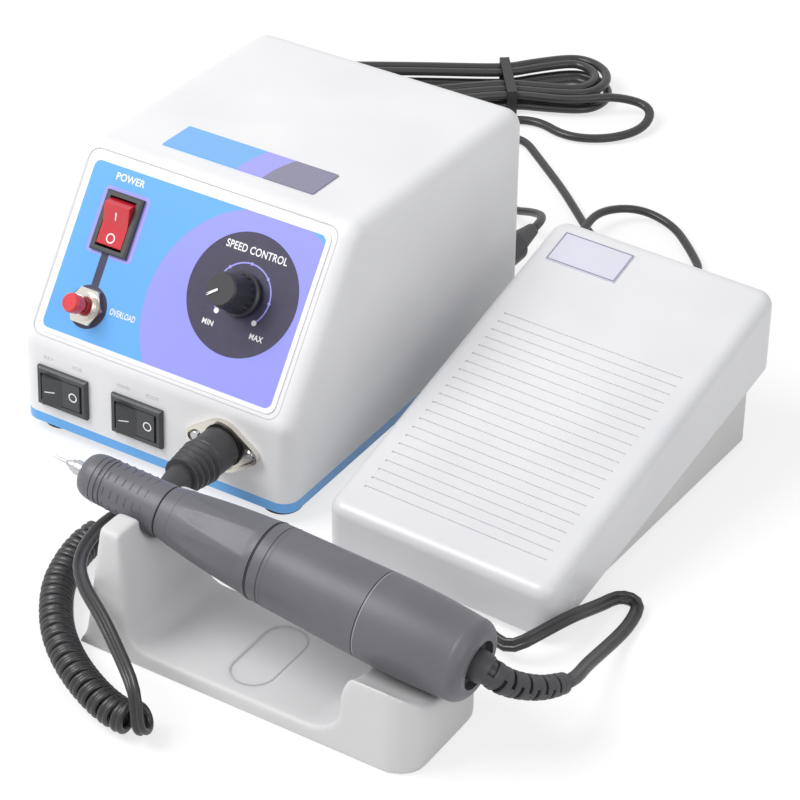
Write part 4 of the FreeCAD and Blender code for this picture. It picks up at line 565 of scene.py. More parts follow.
relief_rings = lathe("relief_rings", parts, on_spine, sides=48)
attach(relief_rings, "handpiece")
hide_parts("strain_relief")
print("the relief has", count, "rings")

# %% [markdown]
# A black core shows through the cuts. With it the cord is complete.

# %% The core of the strain relief
stations = [1 + (relief_long - 1.5) * i / 24 for i in range(25)]
core = [(h, relief_radius(h) - 1.15) for h in stations]
relief_core = lathe(
    "relief_core", [([(stations[0], 0.4)] + core + [(h, 0.4) for h in reversed(stations)], 0, 360)],
    on_spine, sides=32,
)
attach(relief_core, "handpiece")
print("the core has", len(relief_core.data.polygons), "faces")

# %% [markdown]
# The pedal cord leaves its plug behind the unit, lies down and wanders to the pedal in a wide
# arc and a loop. It is a little stiffer than the curly cord, so its bends are wider.

# %% The pedal cord
PEDAL_ROUTE = [
    (98.0, 180.5, 20.5),
    (98.0, 190.5, 20.5),
    (88.0, 199.5, 15.5),
    (72.0, 208.5, 6.5),
    (57.0, 227.0, 2.2),
    (26.5, 251.7, 2.2),
    (41.0, 269.7, 2.2),
    (60.0, 254.5, 2.2),
    (77.0, 240.8, 2.2),
    (91.0, 228.0, 2.2),
    (106.0, 214.0, 2.2),
    (126.0, 201.0, 2.2),
    (147.0, 199.0, 2.2),
    (153.0, 214.0, 2.2),
    (141.0, 227.0, 2.4),
    (127.5, 238.5, 3.2),
    (111.5, 240.0, 5.0),
    (101.5, 227.5, 6.8),
    (102.5, 212.5, 6.8),
    (107.0, 197.0, 5.0),
    (119.0, 183.0, 3.0),
    (137.0, 178.0, 2.4),
    (151.0, 169.0, 4.5),
    (154.28, 152.06, 8.5),
    (153.84, 140.07, 8.5),
]
pedal_line = smooth_line("pedal_cord", [on_table(*p) for p in PEDAL_ROUTE], 10)
pedal_cord = cord_skin(
    "pedal_cord_twin", pedal_line, level_wides(pedal_line), twin_section(1.5, 0.15)
)
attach(pedal_cord, "set")
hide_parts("pedal_cord")
print("the pedal cord is", round(line_length(pedal_line) * 1000), "mm long")

# %% [markdown]
# The mains cord makes one loose loop and then goes back and forth in a hank, drawn in at its
# waist by a tie. The hank lies in two layers, so each lane has a place across it and a height.
# One rule writes the points of every lap: a run, a half circle, a run back and a half circle.

# %% The lanes of the hank
HANK_MIDDLE = (19.0, 297.0)
HANK_TURN = math.radians(37)
HANK_FAN, HANK_TAIL = 25.0, 68.0
HANK_INNER, HANK_PITCH = 9.0, 4.8
LOW, HIGH = 3.1, 7.8


def on_hank(along, across, height):
    x = HANK_MIDDLE[0] + along * math.cos(HANK_TURN) - across * math.sin(HANK_TURN)
    y = HANK_MIDDLE[1] + along * math.sin(HANK_TURN) + across * math.cos(HANK_TURN)
    return on_table(x, y, height)


def half_circle(along, across, radius, from_height, to_height, side):
    """Six points of a half circle that bulges to one side, for a line that cuts its corners."""
    points = []
    for index in range(6):
        angle = math.radians(15 + 30 * index)
        share = (index + 0.5) / 6
        height = from_height + (to_height - from_height) * share
        bulge = side * math.sin(angle) * radius / 0.966
        sweep = side * math.cos(angle) * radius / 0.966
        points.append(on_hank(along + bulge, across + sweep, height))
    return points


def wide_lane(lane):
    return HANK_INNER + lane * HANK_PITCH


def waist_lane(lane):
    return (lane + 0.5) * HANK_PITCH


def spread(share):
    return share * share * (3 - 2 * share)


print("outer lane:", wide_lane(2), "mm at the loops,", waist_lane(2), "mm at the tie")

# %% [markdown]
# The laps go from the outer lane in to the middle one and out again, first in the upper layer
# and then in the lower one. Every run crosses the tie, where the lanes lie closest. After the
# last lap the cord's end goes down to the plug.

# %% The hank's points
hank = [on_hank(HANK_FAN + 17.8, -15.8, HIGH), on_hank(HANK_FAN, -wide_lane(2), HIGH)]
LANES = [2, 1, 0, 1, 2]
for turn, lane in enumerate(LANES):
    here = HIGH if turn < 3 else LOW
    below = HIGH if turn < 2 else LOW
    wide, waist = wide_lane(lane), waist_lane(lane)
    for share in (0.5, 0.9):
        across = -wide - (waist - wide) * spread(share)
        hank.append(on_hank(HANK_FAN * (1 - share), across, here))
    if turn == len(LANES) - 1:
        break
    for share in (0.1, 0.5):
        hank.append(on_hank(-HANK_TAIL * share, -waist - (wide - waist) * spread(share), here))
    hank += half_circle(-HANK_TAIL, 0, wide, here, below, -1)
    for share in (0.5, 0.1):
        hank.append(on_hank(-HANK_TAIL * share, waist + (wide - waist) * spread(share), below))
    for share in (0.1, 0.5):
        hank.append(on_hank(HANK_FAN * share, waist + (wide - waist) * spread(share), below))
    coming = wide_lane(LANES[turn + 1])
    hank += half_circle(HANK_FAN, (wide - coming) / 2, (wide + coming) / 2, below, below, 1)
hank += [
    on_hank(-20, -13.2, LOW),
    on_hank(-40, -17.6, LOW),
    on_hank(-50, -18.6, LOW),
    on_table(-16.9, 246.6, LOW),
    on_table(-19.6, 239.0, 4.0),
    on_table(-14.2, 232.2, 6.5),
    on_table(-8.5, 226.5, 6.9),
    on_table(-5.8, 223.8, 6.9),
]
print("the hank has", len(hank), "points for", len(LANES) - 0.5, "laps")

# %% [markdown]
# The rest of the mains cord lies on the table. It comes down from the unit's back in an easy
# curve, because a stiff cord doesn't turn sharply, and rises a little where it joins the hank.

# %% The mains cord
MAINS_ROUTE = [
    (62.0, 176.5, 26.5),
    (62.0, 187.5, 26.5),
    (58.0, 200.0, 19.0),
    (49.0, 213.0, 8.0),
    (38.0, 226.0, 2.3),
    (27.0, 241.0, 2.2),
    (22.5, 259.0, 2.2),
    (27.5, 275.0, 2.2),
    (41.0, 283.5, 2.2),
    (57.5, 277.5, 2.2),
    (73.0, 285.0, 2.2),
    (82.0, 299.5, 3.0),
    (78.0, 314.0, 5.5),
]
mains_line = smooth_line("mains_cord", [on_table(*p) for p in MAINS_ROUTE] + hank, 6)
mains_cord = cord_skin(
    "mains_cord_flat", mains_line, level_wides(mains_line), twin_section(1.6, 0.3)
)
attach(mains_cord, "set")
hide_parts("mains_cord", "mains_hank")
print("the mains cord is", round(line_length(mains_line) * 1000), "mm long")

# %% [markdown]
# The nose is blunt: it keeps the sleeve's full width and is rounded over only in front, with
# a fine groove close behind. The collet and the bur look out of its middle.

# %% The blunt nose
nose_shell = lathe("nose_shell", [([
    (5.9, 2.7), (5.4, 3.3), (5.3, 4.4), (5.6, 5.4), (6.2, 6.2), (7.1, 6.85), (8.3, 7.3),
    (9.6, 7.55), (11.3, 7.68), (11.36, 7.4), (11.7, 7.4), (11.76, 7.6), (11.9, 7.3), (10.6, 6.9),
    (9.9, 5.6), (9.9, 4.8), (12.8, 4.8), (12.8, 2.7),
], 0, 360)], on_hand, sides=96)
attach(nose_shell, "handpiece")
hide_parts("nose_cap")
print("the nose has", len(nose_shell.data.polygons), "faces")

# %% [markdown]
# The twist grip swells from the front sleeve to the housing. Eight long flutes are scooped out
# of it, narrow in front and wide behind, so shallow that they show only by their edges. A flute
# takes most from the radius along its middle line and nothing at its border.

# %% The fluted twist grip
GRIP_START, GRIP_END = 37.25, 73.55
FLUTE_START, FLUTE_LONG, FLUTE_DEPTH = 44, 28.4, 0.48
FLUTE_END = 72.4
FLUTE_PITCH, FLUTE_TURN = 45, 12


def swollen(along):
    """The grip's radius before fluting, a curve through three known radii."""
    t = (along - GRIP_START) / (GRIP_END - GRIP_START)
    return 8.55 * (1 - t) * (1 - 2 * t) + 11.15 * 4 * t * (1 - t) + 12.85 * t * (2 * t - 1)


def flute(along, angle):
    """How deep the flutes are at a place on the grip, in millimetres."""
    if not FLUTE_START < along < FLUTE_END:
        return 0.0
    width = 0.12 + 0.36 * ((along - FLUTE_START) / FLUTE_LONG) ** 0.6
    depth = FLUTE_DEPTH * min(1, (along - FLUTE_START) / 7) * min(1, (FLUTE_END - along) / 2.4)
    off = ((angle + FLUTE_TURN) / FLUTE_PITCH) % 1 - 0.5
    return depth * max(0.0, 1 - (off / width) ** 2)


def on_grip(along, angle, radius):
    return on_hand(along, angle, radius - flute(along, angle) if radius > 7.5 else radius)


stations = [GRIP_START + (GRIP_END - GRIP_START) * i / 66 for i in range(67)]
profile = [(a, swollen(a)) for a in stations] + [(GRIP_END, 7.25), (GRIP_START, 7.25)]
fluted_grip = lathe("fluted_grip", [(profile, 0, 360)], on_grip, sides=192)
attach(fluted_grip, "twist_grip")
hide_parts("twist_grip")
print("the grip has", len(fluted_grip.data.polygons), "faces")

# %% [markdown]
# The cradle is a soft moulding without a sharp edge. A welded copy of the solid is cut into
# even small faces by a remesh and then smoothed, which rounds every edge alike. After that its
# rear horn is lowered towards the outside by one rule on height, so that it hides behind the
# handpiece.

# %% The cradle's soft edges
def welded_copy(name, node):
    """A copy of a node's mesh, with its loose triangles joined at their corners."""
    piece = bpy.data.objects.new(name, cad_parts[node].data.copy())
    bpy.context.scene.collection.objects.link(piece)
    work = bmesh.new()
    work.from_mesh(piece.data)
    bmesh.ops.remove_doubles(work, verts=work.verts, dist=1e-6)
    work.to_mesh(piece.data)
    work.free()
    return piece


cradle_shape = welded_copy("cradle_soft", "cradle")
even = cradle_shape.modifiers.new("even faces", "REMESH")
even.mode = "VOXEL"
even.voxel_size = 0.0009
soften = cradle_shape.modifiers.new("soft edges", "SMOOTH")
soften.factor = 0.5
soften.iterations = 14
deps = bpy.context.evaluated_depsgraph_get()
soft_mesh = bpy.data.meshes.new_from_object(cradle_shape.evaluated_get(deps), depsgraph=deps)
cradle_shape.modifiers.clear()
cradle_shape.data = soft_mesh
corner = on_table(88.5, -85.0, 0)
for vertex in soft_mesh.vertices:
    x, y, z = (vertex.co - corner) * 1000
    if x < 40 and z > 12:
        outer = spread(min(max((y - 29) / 12, 0), 1))
        z = 12 + (z - 12) * (1 - 0.24 * outer * (1 - spread(max(x - 26, 0) / 14)))
        vertex.co = corner + Vector((x, y, z)) / 1000
soft_mesh.shade_smooth()
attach(cradle_shape, "set")
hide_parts("cradle")
print("the cradle has", len(soft_mesh.polygons), "faces")

# %% [markdown]
# The pedal's return spring stands between its base and the treadle's ceiling. As a rigid piece
# it would come out through the treadle when a foot presses it. Here it is a welded copy of the
# coil with a mesh of its own.

# %% The return spring
return_spring = welded_copy("return_spring", "pedal_spring")
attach(return_spring, "set")
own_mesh(return_spring)
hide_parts("pedal_spring")

# %% [markdown]
# The rubber feet are wider below than above and stand close to the corners, where the front
# ones peep out under the blue rim.

# %% Rubber feet
feet_parts = [([(0, 0), (0, 6.2), (0.6, 6.9), (4.4, 7.5), (4.4, 0)], 0, 360)]
feet = []
for x in (9.6, 101.4):
    for y in (10.6, 138.9):
        stand = Matrix.Translation(on_table(x, y, 0)) @ Matrix.Scale(0.001, 4)
        feet.append(lathe("foot", feet_parts, on_axis_of(stand), sides=40))
work = bmesh.new()
for foot in feet:
    work.from_mesh(foot.data)
    bpy.data.objects.remove(foot)
all_feet = new_piece("corner_feet", [], [])
work.to_mesh(all_feet.data)
work.free()
close_up(all_feet)
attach(all_feet, "set")
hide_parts("unit_feet")
print("the feet have", len(all_feet.data.polygons), "faces")

# %% [markdown]
# A nickel bush goes round the breaker's neck. Its two grooves are part of the turned profile,
# so they catch the light as cut threads do.

# %% The breaker's bush
bush = lathe("breaker_bush", [([
    (2.9, 4.65), (2.9, 4.78), (3.35, 4.78), (3.5, 4.66), (3.65, 4.78), (4.05, 4.78), (4.2, 4.66),
    (4.35, 4.78), (4.75, 4.78), (5.06, 4.45), (5.06, 2.6), (5.01, 2.6), (5.01, 4.62),
], 0, 360)], on_axis_of(face_matrix("slope", 23.0, 16.0, 0)), sides=56)
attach(bush, "set")
print("the bush has", len(bush.data.polygons), "faces")

# %% [markdown]
# Flush caps close the treadle's sides where the hinge pin ends. A ray from outside finds where
# the side is, so each cap stands on the surface wherever that lies. The caps ride on the treadle.

# %% The caps on the hinge
def surface_tree(node):
    """A search tree of a node's faces, which finds where a ray meets them."""
    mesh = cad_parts[node].data
    corners = [v.co for v in mesh.vertices]
    return BVHTree.FromPolygons(corners, [p.vertices for p in mesh.polygons])


PEDAL_TURN = math.radians(-2.1)
pin_low, pin_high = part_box("hinge_pin")
middle = (Vector(pin_low) + Vector(pin_high)) / 2
treadle_tree = surface_tree("pedal_treadle")
CAP = [(-0.8, 0), (-0.8, 2.4), (0.02, 2.4), (0.1, 2.2), (0.1, 0)]
caps = []
for side in (1, -1):
    outwards = Vector((math.cos(PEDAL_TURN), math.sin(PEDAL_TURN), 0)) * side
    hit = treadle_tree.ray_cast(middle + outwards * 0.08 + Vector((0, 0, 0.0045)), -outwards)[0]
    surface = (hit - middle).dot(outwards)
    stand = outwards.to_track_quat("Z", "Y").to_matrix().to_4x4()
    stand = Matrix.Translation(middle + outwards * surface) @ stand @ Matrix.Scale(0.001, 4)
    cap = lathe(
        "pin_cap_right" if side > 0 else "pin_cap_left", [(CAP, 0, 360)], on_axis_of(stand), 40,
    )
    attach(cap, "treadle")
    caps.append(cap)
print("caps stand", round(surface * 1000, 2), "mm from the middle of the pin")

# %% [markdown]
# Behind the table everything is white. The camera sees that white through Is Camera Ray, and
# so do metal and clear plastic, while the light that falls on the set from the world stays
# soft and grey.

# %% The white behind the set
def nodes_of(owner):
    owner.use_nodes = True
    owner.node_tree.nodes.clear()
    return owner.node_tree.nodes, owner.node_tree.links


def seen_directly(nodes, links):
    """1 for rays that show the background itself: from the camera, a mirror or through glass."""
    path = nodes.new("ShaderNodeLightPath")
    both = nodes.new("ShaderNodeMath")
    both.operation = "MAXIMUM"
    links.new(path.outputs["Is Camera Ray"], both.inputs[0])
    links.new(path.outputs["Is Glossy Ray"], both.inputs[1])
    every = nodes.new("ShaderNodeMath")
    every.operation = "MAXIMUM"
    links.new(both.outputs[0], every.inputs[0])
    links.new(path.outputs["Is Transmission Ray"], every.inputs[1])
    return every.outputs[0]


world = bpy.data.worlds.new("soft room")
bpy.context.scene.world = world
nodes, links = nodes_of(world)
room = nodes.new("ShaderNodeBackground")
room.inputs["Color"].default_value = (0.97, 0.98, 1.0, 1)
room.inputs["Strength"].default_value = 0.52
white = nodes.new("ShaderNodeBackground")
white.inputs["Color"].default_value = (1, 1, 1, 1)
choose = nodes.new("ShaderNodeMixShader")
links.new(seen_directly(nodes, links), choose.inputs[0])
links.new(room.outputs[0], choose.inputs[1])
links.new(white.outputs[0], choose.inputs[2])
links.new(choose.outputs[0], nodes.new("ShaderNodeOutputWorld").inputs[0])
print("world:", world.name)

# %% [markdown]
# A plain pale table top carries the set. It is partly lit and partly white by itself, so that
# it meets the white behind it without an edge and still keeps a faint shadow.

# %% The table top
table_top = new_piece(
    "table_top", [(-4, -4, 0), (4, -4, 0), (4, 4, 0), (-4, 4, 0)], [(0, 1, 2, 3)], smooth=False
)
table_white = bpy.data.materials.new("white table top")
nodes, links = nodes_of(table_white)
matt = nodes.new("ShaderNodeBsdfDiffuse")
matt.inputs["Color"].default_value = (0.33, 0.33, 0.33, 1)
glow = nodes.new("ShaderNodeEmission")
glow.inputs["Strength"].default_value = 0.71
plain = nodes.new("ShaderNodeBsdfDiffuse")
plain.inputs["Color"].default_value = (0.8, 0.8, 0.8, 1)
both = nodes.new("ShaderNodeAddShader")
links.new(matt.outputs[0], both.inputs[0])
links.new(glow.outputs[0], both.inputs[1])
choose = nodes.new("ShaderNodeMixShader")
links.new(seen_directly(nodes, links), choose.inputs[0])
links.new(plain.outputs[0], choose.inputs[1])
links.new(both.outputs[0], choose.inputs[2])
links.new(choose.outputs[0], nodes.new("ShaderNodeOutputMaterial").inputs[0])
table_top.data.materials.append(table_white)
bpy.context.scene.view_settings.view_transform = "Standard"
print("the table top is laid")

# %% [markdown]
# Two large lamps do the rest. The main one hangs to the front and left, so that tops and fronts
# are bright and the right side of the unit falls off to grey. A weak one from the right keeps
# that side from going flat.

# %% The lamps
def lamp(name, place, target, size, power):
    data = bpy.data.lights.new(name, "AREA")
    data.shape = "DISK"
    data.size = size
    data.energy = power
    data.color = (1.0, 0.995, 0.985)
    piece = bpy.data.objects.new(name, data)
    bpy.context.scene.collection.objects.link(piece)
    piece.location = place
    piece.rotation_euler = (Vector(target) - Vector(place)).to_track_quat("-Z", "Y").to_euler()
    return piece


lamp("main lamp", (-0.7, -0.6, 1.2), (0, 0, 0.03), 0.9, 14.8)
lamp("side lamp", (1.1, -0.5, 0.8), (0, 0, 0.03), 0.8, 3)
print("two lamps are hung")

# %% [markdown]
# Moulded plastic, lacquer and rubber are never perfectly even. A group that every finish can use
# gives three things that change over the surface: a slow cloud for small differences of tone,
# a fine grain for the bump, and sparse specks for dust. Each finish sets its own sizes.

# %% A group for surfaces that aren't perfectly even
def new_group(name, inputs, outputs):
    tree = bpy.data.node_groups.new(name, "ShaderNodeTree")
    for word, value in inputs:
        socket = tree.interface.new_socket(word, in_out="INPUT", socket_type="NodeSocketFloat")
        socket.default_value = value
    for word in outputs:
        tree.interface.new_socket(word, in_out="OUTPUT", socket_type="NodeSocketFloat")
    return tree, tree.nodes.new("NodeGroupInput"), tree.nodes.new("NodeGroupOutput")


uneven, group_in, group_out = new_group(
    "uneven surface", [("Cloud scale", 20), ("Grain scale", 1500)], ["Cloud", "Grain", "Specks"]
)
place = uneven.nodes.new("ShaderNodeTexCoord")
for word, scale, detail in (("Cloud", "Cloud scale", 3), ("Grain", "Grain scale", 2)):
    noise = uneven.nodes.new("ShaderNodeTexNoise")
    noise.inputs["Detail"].default_value = detail
    uneven.links.new(place.outputs["Object"], noise.inputs["Vector"])
    uneven.links.new(group_in.outputs[scale], noise.inputs["Scale"])
    uneven.links.new(noise.outputs[0], group_out.inputs[word])
dots = uneven.nodes.new("ShaderNodeTexVoronoi")
dots.inputs["Scale"].default_value = 260
dots.inputs["Randomness"].default_value = 1.0
near = uneven.nodes.new("ShaderNodeMapRange")
near.inputs["From Min"].default_value = 0.10
near.inputs["From Max"].default_value = 0.03
uneven.links.new(place.outputs["Object"], dots.inputs["Vector"])
uneven.links.new(dots.outputs["Distance"], near.inputs["Value"])
uneven.links.new(near.outputs[0], group_out.inputs["Specks"])
print("group:", uneven.name)


# %% [markdown]
# One helper makes every opaque finish from that group. It mixes two near tones by the cloud,
# lets the roughness wander a little, and raises a fine grain. What is the same all over, such as
# the coat of a glossy plastic or the metal of a nut, is written on the shader's own sockets.

# %% One recipe for the plain finishes
def tone(code):
    """A colour written as in a paint chart, such as 6DB5F5, in the renderer's linear scale."""
    parts = [int(code[i:i + 2], 16) / 255 for i in (0, 2, 4)]
    return tuple(p / 12.92 if p <= 0.04045 else ((p + 0.055) / 1.055) ** 2.4 for p in parts) + (1,)


def mix_colours(nodes, links, mask, first, second):
    """A colour mix; each of the two may be a colour or another node's output."""
    mix = nodes.new("ShaderNodeMix")
    mix.data_type = "RGBA"
    links.new(mask, mix.inputs[0])
    for socket, value in ((mix.inputs[6], first), (mix.inputs[7], second)):
        if isinstance(value, tuple):
            socket.default_value = value
        else:
            links.new(value, socket)
    return mix.outputs[2]


def between(nodes, links, value, low, high, start=0.3, stop=0.7):
    """Spreads a noise's middle range over the values from low to high."""
    spread_out = nodes.new("ShaderNodeMapRange")
    limits = {"From Min": start, "From Max": stop, "To Min": low, "To Max": high}
    for word, number in limits.items():
        spread_out.inputs[word].default_value = number
    links.new(value, spread_out.inputs["Value"])
    return spread_out.outputs[0]


print("a paint chart's 6DB5F5 is", [round(v, 3) for v in tone("6DB5F5")])

# %% [markdown]
# The recipe itself takes two tones, a roughness and the size of the grain. A second helper
# puts a finish on any pieces, whether they are nodes of the model or pieces made here.

# %% The recipe, and how a piece gets its finish
def finish(
    name, first, second, rough, grain=1500, bump=0.12, cloud=22, coat=0.0, metal=0.0, **more
):
    material = bpy.data.materials.new(name)
    nodes, links = nodes_of(material)
    group = nodes.new("ShaderNodeGroup")
    group.node_tree = uneven
    group.inputs["Cloud scale"].default_value = cloud
    group.inputs["Grain scale"].default_value = grain
    shader = nodes.new("ShaderNodeBsdfPrincipled")
    shader.name = "surface"
    shader.inputs["Metallic"].default_value = metal
    shader.inputs["Coat Weight"].default_value = coat
    for word, value in more.items():
        shader.inputs[word.replace("_", " ")].default_value = value
    mask = between(nodes, links, group.outputs["Cloud"], 0, 1)
    colour = mix_colours(nodes, links, mask, tone(first), tone(second))
    links.new(colour, shader.inputs["Base Color"])
    rough_out = between(nodes, links, group.outputs["Grain"], rough - 0.05, rough + 0.07)
    links.new(rough_out, shader.inputs["Roughness"])
    raised = nodes.new("ShaderNodeBump")
    raised.inputs["Strength"].default_value = bump
    raised.inputs["Distance"].default_value = 0.0002
    links.new(group.outputs["Grain"], raised.inputs["Height"])
    links.new(raised.outputs[0], shader.inputs["Normal"])
    links.new(shader.outputs[0], nodes.new("ShaderNodeOutputMaterial").inputs[0])
    return material


def wear(material, *names):
    for name in names:
        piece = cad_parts[name] if isinstance(name, str) else name
        piece.data.materials.clear()
        piece.data.materials.append(material)
    return material


print("a finish is made of", uneven.name)

# %% [markdown]
# The case, the cradle and the pedal are injection moulded in three near whites. The case is the
# coldest, the cradle is a warm light grey, and the treadle sits between them with a little gloss.
# Their grain is so fine that it only breaks up the reflections of the lamps.

# %% White and pale plastics
wear(finish("white case plastic", "F0F0F1", "E9E9EB", 0.42, 2600, 0.10), "case_shell")
wear(
    finish("cradle plastic", "DBDADB", "D5D4D5", 0.5, 2200, 0.14), "cradle", cradle_shape
)
wear(
    finish("treadle plastic", "E6E6E8", "DFDFE2", 0.34, 2400, 0.08, coat=0.1),
    "pedal_treadle", *caps,
)
wear(finish("pedal base plastic", "DCDCDA", "D3D3D1", 0.5, 2000, 0.14), "pedal_base")
wear(finish("blue rim plastic", "66B2F4", "5CAAEF", 0.3, 2400, 0.06, coat=0.2), "base_tray")
print("pale plastics are on")

# %% [markdown]
# Rubber and black plastic differ by their shine: rubber feet are dull and dusty, the switch
# frames are satin, and the moulded boots are in between. None of them is truly black, because
# a true black would swallow their edges.

# %% Black plastics and rubbers
wear(finish("rubber feet", "1C1C1D", "272728", 0.8, 900, 0.3), "unit_feet", "pedal_feet", all_feet)
wear(
    finish("switch frame plastic", "47484A", "3E3F41", 0.42, 2600, 0.16),
    "power_switch", "direction_switch", "mode_switch",
)
wear(
    finish("black rocker plastic", "434446", "393A3C", 0.3, 2600, 0.08),
    "direction_rocker", "mode_rocker",
)
wear(finish("knob plastic", "35353A", "2B2B2F", 0.35, 2600, 0.12), "speed_knob")
wear(
    finish("boot rubber", "414144", "37373A", 0.46, 1600, 0.2),
    "plug_boot", "pedal_plug", "pedal_gland",
)
wear(finish("relief rubber", "47474B", "3D3D41", 0.5, 1600, 0.2), relief_rings)
wear(
    finish("black moulded plastic", "2A2A2C", "212123", 0.45, 2200, 0.16),
    "breaker", "fuse_holder", "mains_gland", "pedal_jack", "pedal_sensor", "mains_plug", "hank_tie",
)
wear(finish("socket insert plastic", "1D1D1F", "262628", 0.5, 2200, 0.16), "socket_insert")
cord_rubber = finish("cord rubber", "2D2D2F", "242426", 0.36, 1200, 0.18, coat=0.12)
wear(cord_rubber, handpiece_cord, pedal_cord, mains_cord, relief_core)
print("dark plastics are on")

# %% [markdown]
# The power rocker is clear red plastic with a lamp behind it. A glassy coat over a strong red
# that light enters a little way gives its depth. The reset button is a plain opaque red.

# %% Red plastics
red_rocker = finish(
    "red rocker plastic", "E3303C", "C81C2C", 0.16, 900, 0.03, coat=0.6, Subsurface_Weight=0.25,
    Subsurface_Scale=0.003,
)
wear(red_rocker, "power_rocker")
wear(finish("red button plastic", "E4434B", "D8343E", 0.3, 2200, 0.06, coat=0.3), "reset_button")
print("red plastics are on")

# %% [markdown]
# Bright metal shows what is round it, so its colour matters less than its polish. The socket's
# flange and the breaker's nut are nickel with a warm cast, the screws and the nose are plain
# steel, and the things inside the case only need to be true to what they are.

# %% Metals
wear(
    finish("nickel plate", "E6E2DC", "D8D2C8", 0.16, 1800, 0.05, metal=1.0),
    "socket_flange", "breaker_nut", "cord_plug", bush,
)
wear(
    finish("polished steel", "CACBCE", "B8B9BC", 0.22, 2400, 0.06, metal=1.0),
    "base_screws", "flange_screws", "spindle", "collet", "bur", "ball_bearings", "hinge_pin",
    return_spring, "potentiometer",
)
wear(
    finish("turned aluminium", "B4B5B8", "A6A7AA", 0.35, 2400, 0.1, metal=1.0),
    "pot_shaft", "bearing_plates",
)
wear(
    finish("iron sheets", "77787B", "66676A", 0.5, 1400, 0.3, metal=0.8),
    "transformer_core", "rotor", "field_magnets",
)
wear(
    finish("varnished copper", "B5562A", "9A4420", 0.3, 900, 0.5, coat=0.4, metal=0.7),
    "transformer_winding",
)
wear(finish("circuit board", "1F6B3A", "185A30", 0.4, 1600, 0.15, coat=0.3), "circuit_board")
print("metals are on")

# %% [markdown]
# The handpiece is lacquered in a mid grey with a hint of violet, satin rather than glossy. All
# its shells share that lacquer. Because it is handled all day, the cloud also dulls it in broad
# soft patches.

# %% The handpiece's lacquer
lacquer = finish("handpiece lacquer", "68686E", "606066", 0.42, 2400, 0.08, cloud=45)
wear(lacquer, "front_sleeve", "twist_grip", "motor_housing", "rear_sleeve", "nose_cap")
wear(lacquer, nose_shell, fluted_grip)
print("handpiece is lacquered")

# %% [markdown]
# The panel's film is printed in two flat colours: blue, and a large lilac circle that comes in
# from the right. A mask for such a circle needs only a distance, so one group serves this film
# and the strip on the roof. Its place is measured in the plane of the film, in millimetres,
# with a Mapping node that undoes the lean of the face.

# %% A group for printed circles
circle, group_in, group_out = new_group(
    "printed circle", [("Middle x", 0), ("Middle y", 0), ("Radius", 10)], ["Mask"]
)
spot = circle.interface.new_socket("Place", in_out="INPUT", socket_type="NodeSocketVector")
apart = circle.nodes.new("ShaderNodeSeparateXYZ")
circle.links.new(group_in.outputs["Place"], apart.inputs[0])


def sum_of(tree, operation, first, second):
    node = tree.nodes.new("ShaderNodeMath")
    node.operation = operation
    for socket, value in ((node.inputs[0], first), (node.inputs[1], second)):
        if isinstance(value, (int, float)):
            socket.default_value = value
        else:
            tree.links.new(value, socket)
    return node.outputs[0]


off_x = sum_of(circle, "SUBTRACT", apart.outputs["X"], group_in.outputs["Middle x"])
off_y = sum_of(circle, "SUBTRACT", apart.outputs["Y"], group_in.outputs["Middle y"])
square_x = sum_of(circle, "MULTIPLY", off_x, off_x)
square_y = sum_of(circle, "MULTIPLY", off_y, off_y)
squares = sum_of(circle, "ADD", square_x, square_y)
reach = sum_of(circle, "POWER", squares, 0.5)
inside = sum_of(circle, "SUBTRACT", group_in.outputs["Radius"], reach)
edge = circle.nodes.new("ShaderNodeMapRange")
edge.inputs["From Min"].default_value = -0.06
edge.inputs["From Max"].default_value = 0.06
circle.links.new(inside, edge.inputs["Value"])
circle.links.new(edge.outputs[0], group_out.inputs["Mask"])
print("group:", circle.name)


# %% [markdown]
# A film is the plain finish with circles laid over its colour, one after the other. The same
# helper prints the panel, the strip on the roof and the plain plate on the pedal.

# %% Printed film
def printed_film(name, origin, lean, ground, circles):
    material = finish(name, ground, ground, 0.32, 2600, 0.03, coat=0.25)
    nodes, links = material.node_tree.nodes, material.node_tree.links
    shader = nodes["surface"]
    place = nodes.new("ShaderNodeTexCoord")
    plane = nodes.new("ShaderNodeMapping")
    plane.vector_type = "TEXTURE"
    plane.inputs["Location"].default_value = origin
    plane.inputs["Rotation"].default_value = (lean, 0, 0)
    plane.inputs["Scale"].default_value = (0.001, 0.001, 0.001)
    links.new(place.outputs["Object"], plane.inputs["Vector"])
    colour = shader.inputs["Base Color"].links[0].from_socket
    for x, y, radius, printed in circles:
        mask = nodes.new("ShaderNodeGroup")
        mask.node_tree = circle
        mask.inputs["Middle x"].default_value = x
        mask.inputs["Middle y"].default_value = y
        mask.inputs["Radius"].default_value = radius
        links.new(plane.outputs[0], mask.inputs["Place"])
        colour = mix_colours(nodes, links, mask.outputs["Mask"], colour, tone(printed))
    links.new(colour, shader.inputs["Base Color"])
    return material


panel_film = printed_film(
    "panel film", on_face("slope", 0, 0), FACES["slope"][0], "62ADF2",
    [(82.25, 27.2, 39.2, "989BF6")],
)
wear(panel_film, "panel_label")
roof_film = printed_film(
    "roof film", on_table(0, 0, 0), 0.0, "73B3F0",
    [(104.0, 54.0, 48.6, "A3A2F4"), (104.0, 54.0, 37.8, "84819A")],
)
wear(printed_film("pedal plate film", on_table(0, 0, 0), 0.0, "DAD9E6", []), "pedal_plate")
print("films are printed")

# %% [markdown]
# Raised print, such as words, rings and dots, is made as very thin plates on the film. Being
# separate pieces, they stay crisp from any distance, and a plate on a moving piece rides with it.
# A plate is an outline drawn in millimetres in the plane of its face, given a thickness.

